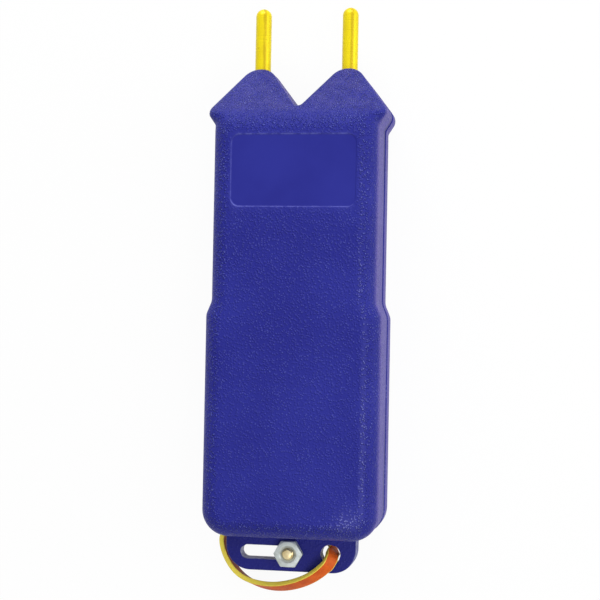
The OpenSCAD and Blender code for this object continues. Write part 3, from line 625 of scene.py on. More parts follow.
# ---------------------------------------------------------------- prods
r_prod = PROD_D / 2
collar_end = COLLAR_LEN - COLLAR_FROM_TOP
prod_profile = [(0, -PROD_IN), (r_prod - 0.4, -PROD_IN), (r_prod, -PROD_IN + 0.4), (r_prod, -COLLAR_FROM_TOP)]
prod_profile += [(COLLAR_D / 2, -COLLAR_FROM_TOP), (COLLAR_D / 2, collar_end), (r_prod, collar_end), (r_prod, 0.0)]
prod_profile += [(r_prod, PROD_OUT * t) for t in (0.2, 0.4, 0.6, 0.8)]
prod_profile += [on_circle(0, PROD_OUT - r_prod, r_prod, a) for a in np.linspace(0, math.pi / 2, 15)[:-1]]
prod_profile += [(0, PROD_OUT)]
NOT_SEEN = -3.0
prods = []
for side, x in (("left", -PROD_PITCH / 2), ("right", PROD_PITCH / 2)):
    v, f = lathe(prod_profile, 96, "Y", (x, Y_TOP, SEAM))
    rod = make_object(side + "_rod", v, f, "case", [side + "_prod"], "prod_brass", 35)
    # angle round the rod from its top line, on the upper half, where the material paints a dark reflection line
    set_mark(rod, "around", np.where(v[:, 2] > SEAM, np.arctan2(v[:, 0] - x, v[:, 2] - SEAM), NOT_SEEN))
    prods.append(rod)

# ---------------------------------------------------------------- clamp nut and screw
PITCH_MM, THREAD = 0.79, 0.36
TAB_FRONT, TAB_BACK = SEAM + TAB_LAYER, SEAM - TAB_LAYER
NUT_N = 144


def hex_radius(a):
    """Radius of the hexagon at an angle."""
    return NUT_AF / 2 / math.cos(a % (math.pi / 3) - math.pi / 6)


def build_nut():
    """Hex nut with corners to the left and the right, chamfered and countersunk on both faces."""
    p = Points()
    bore, sink = SCREW_D / 2 + 0.05, SCREW_D / 2 + 0.95
    flat_r = NUT_AF / 2 - 0.12
    drop = math.tan(math.radians(30))
    angles = np.linspace(0, 2 * math.pi, NUT_N, endpoint=False)
    outer = np.array([hex_radius(a) for a in angles])
    rim = np.minimum(outer, outer.min() + 0.86 * (outer.max() - outer.min()) + 0.05)
    cone = drop * np.maximum(rim - flat_r, 0)
    mid = np.minimum(rim, flat_r + 0.5 * np.maximum(rim - flat_r, 0))
    half = [
        (bore, 0.7 * (sink - bore)), (sink, 0.0), (flat_r - 0.05, 0.0), (flat_r + 0.02, 0.02),
        (mid, drop * (mid - flat_r)), (rim - 0.03, cone), (rim, cone + 0.06),
    ]
    rows = []
    for r, z in half + [(r, NUT_H - z) for r, z in half[::-1]]:
        r, z = np.broadcast_to(r, NUT_N), np.broadcast_to(z, NUT_N)
        rows.append(p.add(np.stack([r * np.cos(angles), r * np.sin(angles), z], 1)))
    p.bands(rows + rows[:1])
    return np.array(p.verts) + np.array([SCREW_X, Y_HOLES, TAB_FRONT]), p.faces


def build_screw():
    """Pan-head screw with its head behind the tab, a thread and a domed end."""
    p = Points()
    n = 48
    angles = np.linspace(0, 2 * math.pi, n, endpoint=False)
    top = TAB_FRONT + NUT_H + SCREW_END
    head, shank = SCREW_HEAD_D / 2, SCREW_D / 2
    rows = []

    def row(r, z):
        r = np.broadcast_to(r, n)
        rows.append(p.add(np.stack([r * np.cos(angles), r * np.sin(angles), np.full(n, z)], 1)))

    for k in range(9):
        a = math.pi / 2 * k / 8
        r = head * (0.55 + 0.45 * math.sin(a)) if k else 0.05
        row(r, TAB_BACK - SCREW_HEAD_H + 0.9 * SCREW_HEAD_H * (1 - math.cos(a)))
    for r, z in ((head, -0.1), (head - 0.1, 0.0), (shank, 0.0)):
        row(r, TAB_BACK + z)
    z = TAB_BACK + 0.05
    while z < top - 0.001:
        tip = max(0.0, z - (top - 0.55))
        phase = (z / PITCH_MM - angles / (2 * math.pi)) % 1.0
        tooth = np.minimum(1.0, (1 - np.abs(2 * phase - 1)) * 1.5)
        row(np.minimum(shank - THREAD * (1 - tooth), shank - 0.05 - tip * 0.9), z)
        z += PITCH_MM / 9
    for r, h in ((shank - 0.62, 0.0), (1.1, 0.09), (0.7, 0.15), (0.3, 0.18)):
        row(r, top + h)
    p.bands(rows)
    for loop in (rows[0], rows[-1]):
        m = p.add([np.mean([p.verts[i] for i in loop], 0)])[0]
        p.faces += [(loop[k], loop[(k + 1) % n], m) for k in range(n)]
    return np.array(p.verts) + np.array([SCREW_X, Y_HOLES, 0]), p.faces


nut = make_object("hex_nut", *build_nut(), "clamp", ["clamp_nut"], "nut_zinc", 24)
screw = make_object("pan_screw", *build_screw(), "clamp", ["clamp_screw"], "screw_steel", 32)

# ---------------------------------------------------------------- leather strap
# Middle of the strip from its lapped end, from the hole's middle in millimetres, and the way its width lies there
ROUTE = [
    ((-31.5, 3.4, 2.5), (0, 0, 1)), ((-25.5, 3.4, 2.5), (0, 0, 1)), ((-19.5, 3.4, 2.5), (0, 0, 1)),
    ((-15, 3.4, 2.5), (0, 0, 1)), ((-11.5, 3.4, 2.5), (0, 0.1, 1)), ((-8, 4, 2.5), (0, 0.25, 0.95)),
    ((-4, 4, 2.5), (0, 0.6, 0.8)), ((-1, 3, 3.5), (0, 0.95, 0.3)), ((0.5, 1, 6), (-0.4, 0.9, 0)),
    ((0.5, 0.5, 9.5), (-0.8, 0.6, 0.1)), ((0.5, 0, 12.5), (-0.85, 0.5, 0.2)), ((0.5, -1, 15), (-0.75, 0.55, 0.4)),
    ((-0.5, -3, 16.5), (-0.6, 0.55, 0.6)), ((-2, -4.5, 16.5), (-0.55, 0.5, 0.7)),
    ((-4, -6.5, 16), (-0.55, 0.5, 0.65)), ((-7, -8.5, 14.5), (-0.6, 0.5, 0.65)),
    ((-11, -10.5, 13), (-0.55, 0.5, 0.65)), ((-15.5, -12, 10.5), (-0.5, 0.55, 0.7)),
    ((-20, -13, 8.5), (-0.45, 0.5, 0.75)), ((-24.5, -13, 6), (-0.35, 0.5, 0.8)),
    ((-28.5, -12.5, 4.5), (-0.2, 0.4, 0.9)), ((-32.5, -11, 3.5), (-0.1, 0.15, 1)), ((-35, -9, 3), (-0.1, 0, 1)),
    ((-37.5, -6, 2.5), (-0.15, 0, 1)), ((-39.5, -2, 2.5), (-0.2, 0, 1)), ((-40, 1.5, 2.5), (-0.25, 0, 1)),
    ((-40.5, 4, 2.5), (-0.15, 0, 1)), ((-39.5, 5.4, 2.5), (0, 0, 1)), ((-37, 5.4, 2.5), (0, 0, 1)),
    ((-30.5, 5.4, 2.5), (0, 0, 1)), ((-24.5, 5.4, 2.5), (0, 0, 1)), ((-20, 5.4, 2.5), (0, 0, 1)),
]
ROUTE_STEPS = 8


def catmull(points, steps):
    """Smooth line through points."""
    points = np.array(points, float)
    n = len(points) - 1
    out = []
    for i in range(n):
        a, b, c, d = points[max(i - 1, 0)], points[i], points[i + 1], points[min(i + 2, n)]
        for k in range(steps):
            t = k / steps
            bend, twist = 2 * a - 5 * b + 4 * c - d, 3 * b - a - 3 * c + d
            out.append((2 * b + (c - a) * t + bend * t * t + twist * t ** 3) / 2)
    out.append(points[n])
    return np.array(out)


def eased(line, first, last):
    """The line with the wobble of its rounded places smoothed out between two of them."""
    reach = 3 * ROUTE_STEPS
    weight = np.exp(-((np.arange(-reach, reach + 1) / ROUTE_STEPS) ** 2) / 2)
    padded = np.pad(line, ((reach, reach), (0, 0)), mode="edge")
    smooth = np.stack([np.convolve(padded[:, k], weight / weight.sum(), "valid") for k in range(3)], 1)
    at = np.arange(len(line)) / ROUTE_STEPS
    share = smoothstep(first, first + 2, at) * (1 - smoothstep(last - 2, last, at))
    return line + (smooth - line) * share[:, None]


strap_line = eased(catmull([p for p, a in ROUTE], ROUTE_STEPS), 12, 28) + np.array([HOLE_X, Y_HOLES, 0])
strap_across = eased(catmull([a for p, a in ROUTE], ROUTE_STEPS), 9, 28)

# Which material each side of the strap has; the first is the orange leather painted darker, as shade
SHADED_SIDE, EDGE, BACK = 0, 1, 2


def strap_section():
    """Points round the strap's section as (across, through), and the material of the side each one starts."""
    w, t, r, swell = STRAP_W / 2, STRAP_T / 2, 0.28, 0.03
    pts, kinds = [], []

    def corner(cx, cy, a0, after):
        for k in range(4):
            pts.append(on_circle(cx, cy, r, math.radians(a0 + 90 * k / 3)))
            kinds.append(after if k == 3 else EDGE)

    for s, a0, side in ((1, -90, SHADED_SIDE), (-1, 90, BACK)):
        corner(s * (w - r), s * (r - t), a0, EDGE)
        pts.append((s * (w + 0.04), 0))
        kinds.append(EDGE)
        corner(s * (w - r), s * (t - r), a0 + 90, side)
        for share in (0.5, 0, -0.5):
            pts.append((s * share * w, s * (t + swell)))
            kinds.append(side)
    return pts, kinds


def build_strap():
    """Points and faces of the strap, its faces' materials, each point's place along and across, and its length."""
    p = Points()
    section, kind = strap_section()
    rows, marks = [], []
    n = len(strap_line)
    run = 0.0
    for i, at in enumerate(strap_line):
        on = unit(strap_line[min(i + 1, n - 1)] - strap_line[max(i - 1, 0)])
        side = unit(strap_across[i] - on * (on @ strap_across[i]))
        thick = np.cross(on, side)
        run += np.linalg.norm(at - strap_line[max(i - 1, 0)])
        rows.append(p.add([at + side * a + thick * b for a, b in section]))
        marks += [(run, a, b) for a, b in section]
    p.bands(rows)
    p.ends(rows)
    return np.array(p.verts), p.faces, kind * (n - 1) + [EDGE, EDGE], marks, run


strap_v, strap_f, strap_kinds, strap_marks, strap_len = build_strap()
strap = make_object("leather_strap", strap_v, strap_f, "case", ["hang_strap"], "strap_leather", 60)
strap.data.polygons.foreach_set("material_index", strap_kinds)
run_mark = strap.data.attributes.new("along", "FLOAT_VECTOR", "POINT")
run_mark.data.foreach_set("vector", np.array(strap_marks, np.float32).ravel() * MM)

rivet_at = (strap_line[ROUTE_STEPS] + strap_line[-1 - ROUTE_STEPS]) / 2
RIVET_R, RIVET_STEM_R, RIVET_DOME = 1.7, 0.8, 0.5
half = STRAP_T + 0.2
quarter = np.linspace(0, math.pi / 2, 8)
rivet_profile = [(RIVET_R * math.sin(a), -half - RIVET_DOME * math.cos(a)) for a in quarter]
rivet_profile += [(RIVET_STEM_R, -half), (RIVET_STEM_R, half)]
rivet_profile += [(RIVET_R * math.cos(a), half + RIVET_DOME * math.sin(a)) for a in quarter]
rivet_v, rivet_f = lathe(rivet_profile, 40, "Y", rivet_at)
rivet = make_object("dome_rivet", rivet_v, rivet_f, "case", ["strap_rivet"], "rivet_brass", 40)

# ---------------------------------------------------------------- button
GROOVE_R, GROOVE_HALF, GROOVE_DEPTH = 2.4, 0.35, 0.1
TRAVEL, GUIDE_T, STEM_PAST = 1.6, 1.5, 0.7
SPRING_D, SPRING_WIRE, SPRING_TURNS, SPRING_ROOM, SPRING_SEAT = 6.4, 0.5, 3, 3.9, 0.1
cap_x = WALL_IN_X - SIDE_WALL - BUTTON_OUT
flange_x = WALL_IN_X + FLANGE_T
guide_x = flange_x + SPRING_ROOM
tip_x = guide_x + GUIDE_T + STEM_PAST
dome_r = (BUTTON_D ** 2 / 4 + BUTTON_OUT ** 2) / (2 * BUTTON_OUT)
button_profile = [(0, cap_x)]
for a in np.linspace(0, math.asin(BUTTON_D / 2 / dome_r), 25)[1:]:
    r = dome_r * math.sin(a)
    groove = GROOVE_DEPTH * max(0.0, 1 - abs(r - GROOVE_R) / GROOVE_HALF)
    button_profile.append((r, cap_x + dome_r * (1 - math.cos(a)) + groove))
button_profile += [
    (BUTTON_D / 2, WALL_IN_X), (FLANGE_D / 2, WALL_IN_X), (FLANGE_D / 2, flange_x),
    (STEM_D / 2, flange_x), (STEM_D / 2, tip_x - 0.3), (STEM_D / 2 - 0.3, tip_x), (0, tip_x),
]
button = make_object(
    "push_button", *lathe(button_profile, 64, "X", (0, Y_BUTTON, BUTTON_Z)),
    "trigger", ["trigger_button"], "button_plastic", 35,
)


def coil_spring(start, end, steps=28, sides=12):
    """The button's spring, a coil about the X axis from start to end."""
    p = Points()
    rows = []
    n = SPRING_TURNS * steps
    for i in range(n + 1):
        a = 2 * math.pi * i / steps
        middle = start + SPRING_WIRE / 2 + (end - start - SPRING_WIRE) * i / n
        wire = circle(SPRING_D / 2, middle, SPRING_WIRE / 2, sides)
        rows.append(p.add([(x, Y_BUTTON - r * math.cos(a), BUTTON_Z - r * math.sin(a)) for r, x in wire]))
    p.bands(rows)
    p.ends(rows)
    return np.array(p.verts), p.faces


spring_from, spring_to = flange_x + SPRING_SEAT, guide_x - SPRING_SEAT
spring = make_object(
    "button_coil", *coil_spring(spring_from, spring_to), "case", ["trigger_spring"], "spring_steel", 40
)
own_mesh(spring)

# ---------------------------------------------------------------- buzzer leaf
COIL_X, COIL_Z, PIVOT_X, Y_REED = 9.0, 15.4, -3.0, 34.55
REED_T, REED_HALF_W, REED_TAIL, REED_OVER, REED_BEND = 0.4, 3, 5, 6, 4
ARMATURE_R, ARMATURE_T, TIP_R, TIP_T = 4.0, 1.4, 1.2, 0.6


def disc(r, low, high):
    """A disc on the leaf, with broken edges."""
    profile = [(0, low), (r - 0.1, low), (r, low + 0.1), (r, high - 0.1), (r - 0.1, high), (0, high)]
    return lathe(profile, 48, "Y", (COIL_X, Y_REED, COIL_Z))


blade = Points()
section = ((0, -REED_HALF_W), (REED_T, -REED_HALF_W), (REED_T, REED_HALF_W), (0, REED_HALF_W))
rows = [
    blade.add([(x, Y_REED + dy, COIL_Z + dz) for dy, dz in section])
    for x in np.linspace(PIVOT_X - REED_TAIL, COIL_X + REED_OVER, 40)
]
blade.bands(rows)
blade.ends(rows)
leaf_parts = [(blade.verts, blade.faces), disc(ARMATURE_R, -ARMATURE_T, 0.0), disc(TIP_R, REED_T, REED_T + TIP_T)]
leaf = make_object("reed_leaf", *joined(leaf_parts), None, ["buzzer_reed"], "reed_steel", 35)
bend_from, bend_to = ((x * MM, Y_REED * MM, COIL_Z * MM) for x in (PIVOT_X, PIVOT_X + REED_BEND))
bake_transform(leaf)
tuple(bend_from)
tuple(bend_to)


# ---------------------------------------------------------------- materials
class Nodes:
    """The node tree of a material or the world, with short ways to add and join nodes."""

    def __init__(self, owner):
        owner.use_nodes = True
        self.tree = owner.node_tree
        self.tree.nodes.clear()

    def put(self, socket, value):
        if isinstance(value, bpy.types.NodeSocket):
            self.tree.links.new(value, socket)
        else:
            socket.default_value = value

    def node(self, kind, inputs, **props):
        n = self.tree.nodes.new(kind)
        for k, v in props.items():
            setattr(n, k, v)
        for k, v in inputs.items():
            self.put(n.inputs[k], v)
        return n

    def math(self, op, a, b=0.0, c=0.0):
        return self.node("ShaderNodeMath", {0: a, 1: b, 2: c}, operation=op).outputs[0]

    def mul(self, a, b):
        return self.math("MULTIPLY", a, b)

    def mix(self, fac, a, b):
        return self.node("ShaderNodeMix", {0: fac, 6: a, 7: b}, data_type="RGBA").outputs[2]

    def seen_as_white(self):
        """1 for the rays that see the white background: from the camera, and from gloss and glass."""
        path = self.node("ShaderNodeLightPath", {}).outputs
        seen = self.math("MAXIMUM", path["Is Camera Ray"], path["Is Glossy Ray"])
        return self.math("MAXIMUM", seen, path["Is Transmission Ray"])


class Mat(Nodes):
    """A material for a piece: textures in its own space, marks on its points and one shader."""

    def __init__(self, name):
        self.mat = bpy.data.materials.new(name)
        super().__init__(self.mat)
        self.coord = self.node("ShaderNodeTexCoord", {}).outputs["Object"]

    def noise(self, scale, detail=3.0, rough=0.55, at=None, output="Fac"):
        inputs = {"Vector": at or self.coord, "Scale": scale, "Detail": detail, "Roughness": rough}
        return self.node("ShaderNodeTexNoise", inputs).outputs[output]

    def voronoi(self, scale, at, **smooth):
        inputs = {"Vector": at, "Scale": scale, **smooth}
        feature = "SMOOTH_F1" if smooth else "F1"
        return self.node("ShaderNodeTexVoronoi", inputs, feature=feature).outputs["Distance"]

    def ramp(self, value, low, high, to_low=0.0, to_high=1.0):
        inputs = {"Value": value, "From Min": low, "From Max": high, "To Min": to_low, "To Max": to_high}
        return self.node("ShaderNodeMapRange", inputs, interpolation_type="SMOOTHSTEP").outputs["Result"]

    def attr(self, name, output="Fac"):
        return self.node("ShaderNodeAttribute", {}, attribute_name=name).outputs[output]

    def stretched(self, scale, at=None):
        return self.node("ShaderNodeMapping", {"Vector": at or self.coord, "Scale": scale}).outputs[0]

    def warped(self, scale, amount):
        shift = self.noise(scale, 2.0, 0.5, output="Color")
        inputs = {0: shift, 1: (amount, amount, amount), 2: self.coord}
        return self.node("ShaderNodeVectorMath", inputs, operation="MULTIPLY_ADD").outputs[0]

    def bump(self, height, distance, strength, **under):
        inputs = {"Height": height, "Distance": distance, "Strength": strength, **under}
        return self.node("ShaderNodeBump", inputs).outputs[0]

    def finish(self, color, rough, normal, **fixed):
        inputs = {"Base Color": color, "Roughness": rough, "Normal": normal}
        inputs.update((k.replace("_", " "), v) for k, v in fixed.items())
        shader = self.node("ShaderNodeBsdfPrincipled", inputs).outputs[0]
        self.node("ShaderNodeOutputMaterial", {"Surface": shader})
        return self.mat


def rgb(r, g, b):
    """Linear colour of an sRGB colour given as 0 to 255."""
    out = []
    for c in (r, g, b):
        c = c / 255
        out.append(c / 12.92 if c <= 0.04045 else ((c + 0.055) / 1.055) ** 2.4)
    return (*out, 1.0)


def blue_plastic():
    """Moulded blue with a pebble grain; the masks of mark_surface say where it changes."""
    m = Mat("blue_plastic")
    grain = m.attr("grain")
    rub_and_sheen = m.attr("rub_and_sheen")
    cells = m.voronoi(1250, m.warped(520, 0.0010), Smoothness=0.3)
    pebble = m.ramp(cells, 0.10, 0.60, 1.0, 0.0)
    fine = m.noise(2600, 3)
    broad = m.noise(38, 3)
    patch = m.noise(240, 2)
    height = m.math("ADD", m.mul(pebble, 0.85), m.mul(fine, 0.4))
    relief = m.attr("relief")
    height = m.mul(height, m.mul(grain, m.math("MULTIPLY_ADD", relief, 1.3, 1.0)))
    skin = m.bump(m.noise(700, 2), 0.00003, 0.35)
    normal = m.bump(height, 0.00026, 0.85, Normal=skin)
    deep, mid, pale = rgb(29, 32, 131), rgb(36, 40, 141), rgb(96, 104, 194)
    color = m.mix(m.ramp(broad, 0.3, 0.7), deep, mid)
    # Painted highlights: pale pebble crowns, more of them where relief is high, on fold, roundings and slopes.
    tops = m.mul(m.ramp(pebble, 0.55, 1.0), grain)
    speck = m.math("MULTIPLY_ADD", relief, 0.42, m.ramp(patch, 0.35, 0.7, 0.08, 0.38))
    color = m.mix(m.mul(tops, speck), color, pale)
    # Painted shade: the tab darkened, as less light falls on it.
    color = m.mix(m.mul(m.attr("tab"), 0.55), color, rgb(14, 14, 100))
    # Painted sheen: a faint paler cast on the head's slopes, where light falls.
    slope_sheen = m.mul(m.attr("head_sheen"), m.ramp(patch, 0.3, 0.7, 0.02, 0.08))
    color = m.mix(slope_sheen, color, rgb(160, 150, 190))
    # Pale edges, stronger on the right-facing side: partly wear, partly painted light where light falls; also
    # rougher there.
    wear_and_sheen = m.mul(rub_and_sheen, m.ramp(m.noise(520, 4, 0.7), 0.5, 0.72))
    color = m.mix(m.mul(wear_and_sheen, 0.16), color, rgb(120, 116, 192))
    # Painted reflection: a blotchy violet sheen on the right wall, standing in for light from the right at a
    # grazing angle.
    sheen_blotch = m.mul(m.attr("right_sheen"), m.ramp(m.noise(1100, 3, 0.6), 0.36, 0.66, 0.16, 0.40))
    color = m.mix(sheen_blotch, color, rgb(138, 116, 206))
    spark = m.mul(m.attr("glint"), m.ramp(pebble, 0.25, 0.85, 0.08, 0.55))
    color = m.mix(spark, color, rgb(142, 146, 216))
    # Painted shade: a dark line just above the parting line on the right, where the groove between the shells lies
    # in shadow.
    color = m.mix(m.mul(m.attr("seam_shade"), 0.75), color, rgb(16, 14, 74))
    # Painted highlight: a pale broken line along the label recess's rim.
    dash = m.ramp(m.noise(330, 3, 0.6), 0.38, 0.56, 0.15, 0.62)
    color = m.mix(m.mul(m.attr("rim_highlight"), dash), color, rgb(122, 128, 214))
    # Painted light: the walls of slot and hole and the tab's right end made pale, as lit.
    cloud = m.ramp(m.noise(460, 3), 0.3, 0.7, 0.55, 0.9)
    color = m.mix(m.mul(m.attr("wall"), cloud), color, rgb(196, 198, 222))
    rough = m.math("ADD", m.ramp(fine, 0.3, 0.7, 0.42, 0.56), m.mul(wear_and_sheen, 0.08))
    return m.finish(color, rough, normal, Specular_IOR_Level=0.27, Specular_Tint=(0.72, 0.74, 1.0, 1.0))


def brass(name, base, dark, rough, line_scale, axis):
    """Turned brass: fine marks round its axis, dull spots and a little tarnish."""
    m = Mat(name)
    scale = (60, line_scale, 60) if axis == "Y" else (60, 60, line_scale)
    marks = m.noise(1.0, 4, 0.6, m.stretched(scale))
    tarnish = m.noise(160, 5, 0.65)
    dull = m.ramp(m.noise(900, 3), 0.56, 0.72)
    color = m.mix(m.ramp(tarnish, 0.42, 0.75, 0.0, 0.7), base, dark)
    color = m.mix(m.mul(dull, 0.25), color, dark)
    r = m.math("ADD", m.ramp(marks, 0.3, 0.7, rough, rough + 0.12), m.mul(dull, 0.15))
    return m.finish(color, r, m.bump(marks, 0.00002, 0.35), Metallic=1.0)


def prod_brass():
    """Bright yellow brass: faint turning marks, dark specks and a painted reflection, one thin dark line along the
    rod.
    """
    m = Mat("prod_brass")
    marks = m.noise(1.0, 4, 0.6, m.stretched((60, 2600, 60)))
    cloud = m.noise(210, 4, 0.6)
    specks = m.ramp(m.noise(820, 4, 0.7), 0.66, 0.72)
    color = m.mix(m.ramp(cloud, 0.35, 0.75, 0.0, 0.5), rgb(240, 219, 10), rgb(224, 195, 8))
    color = m.mix(m.mul(specks, 0.75), color, rgb(120, 92, 14))
    # Painted reflection: a thin dark broken line along each rod's upper side.
    line = m.ramp(m.math("ABSOLUTE", m.math("SUBTRACT", m.attr("around"), 0.36)), 0.06, 0.36, 1.0, 0.0)
    breaks = m.noise(1.0, 3, 0.6, m.stretched((900, 130, 900)))
    line = m.mul(line, m.ramp(breaks, 0.36, 0.55, 0.2, 0.75))
    color = m.mix(line, color, rgb(186, 154, 8))
    r = m.math("ADD", m.ramp(marks, 0.3, 0.7, 0.26, 0.40), m.mul(specks, 0.2))
    return m.finish(color, r, m.bump(marks, 0.00001, 0.12), Metallic=0.22, Specular_IOR_Level=0.25)


def plated(name, base, dark, rough, metal=1.0):
    """Plated steel, cloudy and finely gritty."""
    m = Mat(name)
    cloud = m.noise(420, 4, 0.6)
    grit = m.noise(3200, 3)
    color = m.mix(m.ramp(cloud, 0.35, 0.7), base, dark)
    r = m.math("ADD", m.ramp(cloud, 0.3, 0.7, rough, rough + 0.14), m.mul(grit, 0.1))
    return m.finish(color, r, m.bump(grit, 0.00003, 0.4), Metallic=metal)


def leather(name, base, deep, pale, rough, fibre):
    """Leather with fibres along the strap, and pores."""
    m = Mat(name)
    lay = m.stretched((1, 3.5, 3.5), m.attr("along", "Vector"))
    pores = m.voronoi(2600, m.warped(900, 0.0006))
    cloud = m.noise(240, 4, 0.6)
    fibres = m.noise(900, 4, 0.65, lay)
    color = m.mix(m.ramp(cloud, 0.3, 0.72), base, deep)
    color = m.mix(m.ramp(fibres, 0.5, 0.78, 0.0, fibre), color, pale)
    height = m.math("ADD", m.mul(fibres, 0.7), m.mul(pores, 0.5))
    r = m.ramp(fibres, 0.3, 0.7, rough, rough + 0.15)
    return m.finish(color, r, m.bump(height, 0.00012, 0.6), Specular_IOR_Level=0.3)


def moulded(name, base, dark, rough):
    """Plain moulded plastic or a painted jacket."""
    m = Mat(name)
    cloud = m.noise(180, 4, 0.6)
    fine = m.noise(2400, 3)
    color = m.mix(m.ramp(cloud, 0.35, 0.7), base, dark)
    return m.finish(color, m.ramp(fine, 0.3, 0.7, rough, rough + 0.15), m.bump(fine, 0.00005, 0.4))


def fibre_board():
    """Brown fibre sheet with a coarse weave."""
    m = Mat("fibre_board")
    weave = m.noise(1.0, 5, 0.7, m.stretched((900, 160, 600)))
    cloud = m.noise(90, 4)
    color = m.mix(m.ramp(weave, 0.35, 0.68), rgb(132, 86, 48), rgb(104, 64, 34))
    color = m.mix(m.ramp(cloud, 0.4, 0.8, 0.0, 0.4), color, rgb(150, 104, 62))
    return m.finish(color, m.ramp(weave, 0.3, 0.7, 0.55, 0.75), m.bump(weave, 0.00006, 0.5))


def winding():
    """Enamelled wire, turn beside turn."""
    m = Mat("winding_copper")
    inputs = {"Vector": m.coord, "Scale": 620, "Distortion": 0.6, "Detail": 2}
    fac = m.node("ShaderNodeTexWave", inputs, wave_type="BANDS", bands_direction="Y").outputs["Fac"]
    color = m.mix(m.ramp(fac, 0.1, 0.6), rgb(70, 26, 10), rgb(176, 84, 36))
    return m.finish(color, m.ramp(m.noise(500), 0.3, 0.7, 0.25, 0.4), m.bump(fac, 0.00015, 0.8), Metallic=0.6)


mats = {
    "blue_plastic": blue_plastic(),
    "prod_brass": prod_brass(),
    "screw_steel": plated("screw_steel", rgb(226, 212, 170), rgb(196, 174, 122), 0.20, 0.8),
    "nut_zinc": plated("nut_zinc", rgb(202, 210, 208), rgb(180, 187, 180), 0.32, 0.4),
    "rivet_brass": brass("rivet_brass", rgb(206, 172, 84), rgb(150, 116, 48), 0.26, 900, "Y"),
    "button_plastic": moulded("button_plastic", rgb(34, 34, 40), rgb(24, 24, 28), 0.38),
    "spring_steel": plated("spring_steel", rgb(206, 210, 214), rgb(168, 172, 178), 0.24),
    "contact_bronze": brass("contact_bronze", rgb(202, 142, 84), rgb(150, 96, 52), 0.28, 400, "Z"),
    "fibre_board": fibre_board(),
    "brown_plastic": moulded("brown_plastic", rgb(108, 60, 36), rgb(84, 44, 24), 0.4),
    "cell_jacket": moulded("cell_jacket", rgb(66, 80, 68), rgb(50, 62, 52), 0.34),
    "former_plastic": moulded("former_plastic", rgb(30, 30, 33), rgb(22, 22, 24), 0.42),
    "winding_copper": winding(),
    "core_iron": plated("core_iron", rgb(122, 126, 130), rgb(92, 94, 98), 0.4),
    "reed_steel": plated("reed_steel", rgb(180, 186, 190), rgb(150, 154, 160), 0.28),
    "post_brass": brass("post_brass", rgb(190, 154, 72), rgb(140, 108, 44), 0.28, 500, "Z"),
    "condenser_jacket": moulded("condenser_jacket", rgb(186, 172, 78), rgb(160, 142, 56), 0.34),
}
strap_faces = [
    # The first leather is the orange leather painted darker, as shade on the side in shadow.
    leather("strap_face", rgb(156, 64, 20), rgb(116, 44, 12), rgb(196, 98, 40), 0.55, 0.4),
    leather("strap_edge", rgb(255, 236, 92), rgb(255, 224, 78), rgb(255, 248, 150), 0.6, 0.3),
    leather("strap_back", rgb(236, 104, 18), rgb(206, 82, 12), rgb(244, 146, 60), 0.5, 0.35),
]
for obj, name in (
    (front_piece, "blue_plastic"), (rear_piece, "blue_plastic"), (prods[0], "prod_brass"), (prods[1], "prod_brass"),
    (nut, "nut_zinc"), (screw, "screw_steel"), (rivet, "rivet_brass"), (button, "button_plastic"),
    (spring, "spring_steel"), (leaf, "reed_steel"),
):
    obj.data.materials.clear()
    obj.data.materials.append(mats[name])
for mat in strap_faces:
    strap.data.materials.append(mat)
for row in frame["record"]["subparts"]:
    node = frame["nodes"][row["node"]]
    if row["material_slot"] in mats:
        node.data.materials.clear()
        node.data.materials.append(mats[row["material_slot"]])

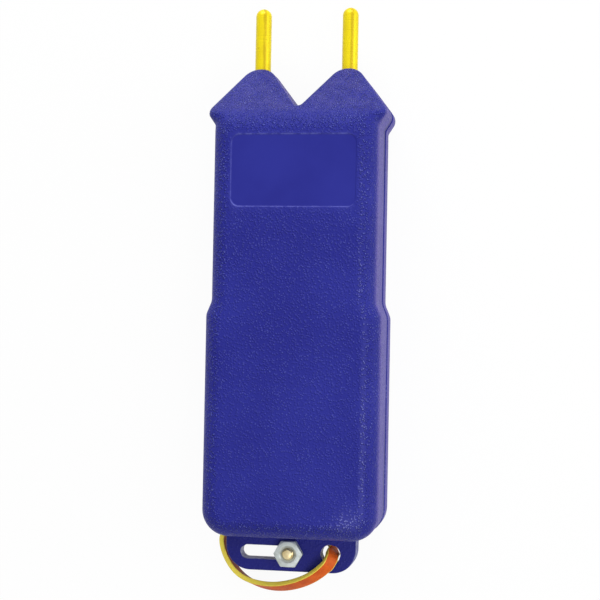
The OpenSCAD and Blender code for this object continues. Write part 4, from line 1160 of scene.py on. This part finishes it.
# ---------------------------------------------------------------- floor, world and lamps
# Half the floor's width, its height just under the part, its paint, and the white share that camera and gloss see
FLOOR_HALF, FLOOR_Z, FLOOR_PAINT, FLOOR_WHITE = 2.2, -0.0002, 0.92, 0.94
floor_mesh = bpy.data.meshes.new("floor")
square = [(x * FLOOR_HALF, y * FLOOR_HALF, FLOOR_Z) for x, y in ((-1, -1), (1, -1), (1, 1), (-1, 1))]
floor_mesh.from_pydata(square, [], [(0, 1, 2, 3)])
floor = bpy.data.objects.new("floor", floor_mesh)
scene.collection.objects.link(floor)
floor_mat = bpy.data.materials.new("floor")
floor_mesh.materials.append(floor_mat)
WHITE = (1, 1, 1, 1)
ground = Nodes(floor_mat)
paint = ground.node("ShaderNodeBsdfDiffuse", {"Color": (FLOOR_PAINT, FLOOR_PAINT, FLOOR_PAINT, 1)}).outputs[0]
glow = ground.node("ShaderNodeEmission", {"Color": WHITE, "Strength": 1.0}).outputs[0]
share = ground.mul(ground.seen_as_white(), FLOOR_WHITE)
surface = ground.node("ShaderNodeMixShader", {0: share, 1: paint, 2: glow}).outputs[0]
ground.node("ShaderNodeOutputMaterial", {"Surface": surface})

# Brightness of the sky that lights the part: near the horizon, half way up and overhead, and where these lie
SKY, SKY_AT = (0.02, 0.10, 0.80), (0.2, 0.55, 0.9)
world = bpy.data.worlds.new("studio")
scene.world = world
sky = Nodes(world)
way = sky.node("ShaderNodeTexCoord", {}).outputs["Generated"]
zone = sky.node("ShaderNodeValToRGB", {"Fac": sky.node("ShaderNodeSeparateXYZ", {0: way}).outputs["Z"]})
zone.color_ramp.elements.new(SKY_AT[1])
for stop, at, level in zip(zone.color_ramp.elements, SKY_AT, SKY):
    stop.position = at
    stop.color = (level, level, level, 1)
seen = sky.mix(sky.seen_as_white(), zone.outputs["Color"], WHITE)
back = sky.node("ShaderNodeBackground", {"Color": seen}).outputs[0]
sky.node("ShaderNodeOutputWorld", {"Surface": back})

LAMP_AIM = Vector((0, 0, 0.02))
for name, at, size, power in (
    ("top_box", (-0.10, 0.95, 0.45), (0.9, 0.4), 8.3),
    ("right_box", (0.75, 0.05, 0.40), (0.4, 0.8), 3.0),
    ("fill_box", (0.30, -0.40, 0.90), (0.5, 0.5), 2.3),
):
    data = bpy.data.lights.new(name, "AREA")
    data.shape = "RECTANGLE"
    data.size, data.size_y = size
    data.energy = power
    box = bpy.data.objects.new(name, data)
    box.location = at
    box.rotation_euler = (LAMP_AIM - Vector(at)).to_track_quat("-Z", "Y").to_euler()
    scene.collection.objects.link(box)

scene.view_settings.view_transform = "Standard"

bpy.context.view_layer.update()
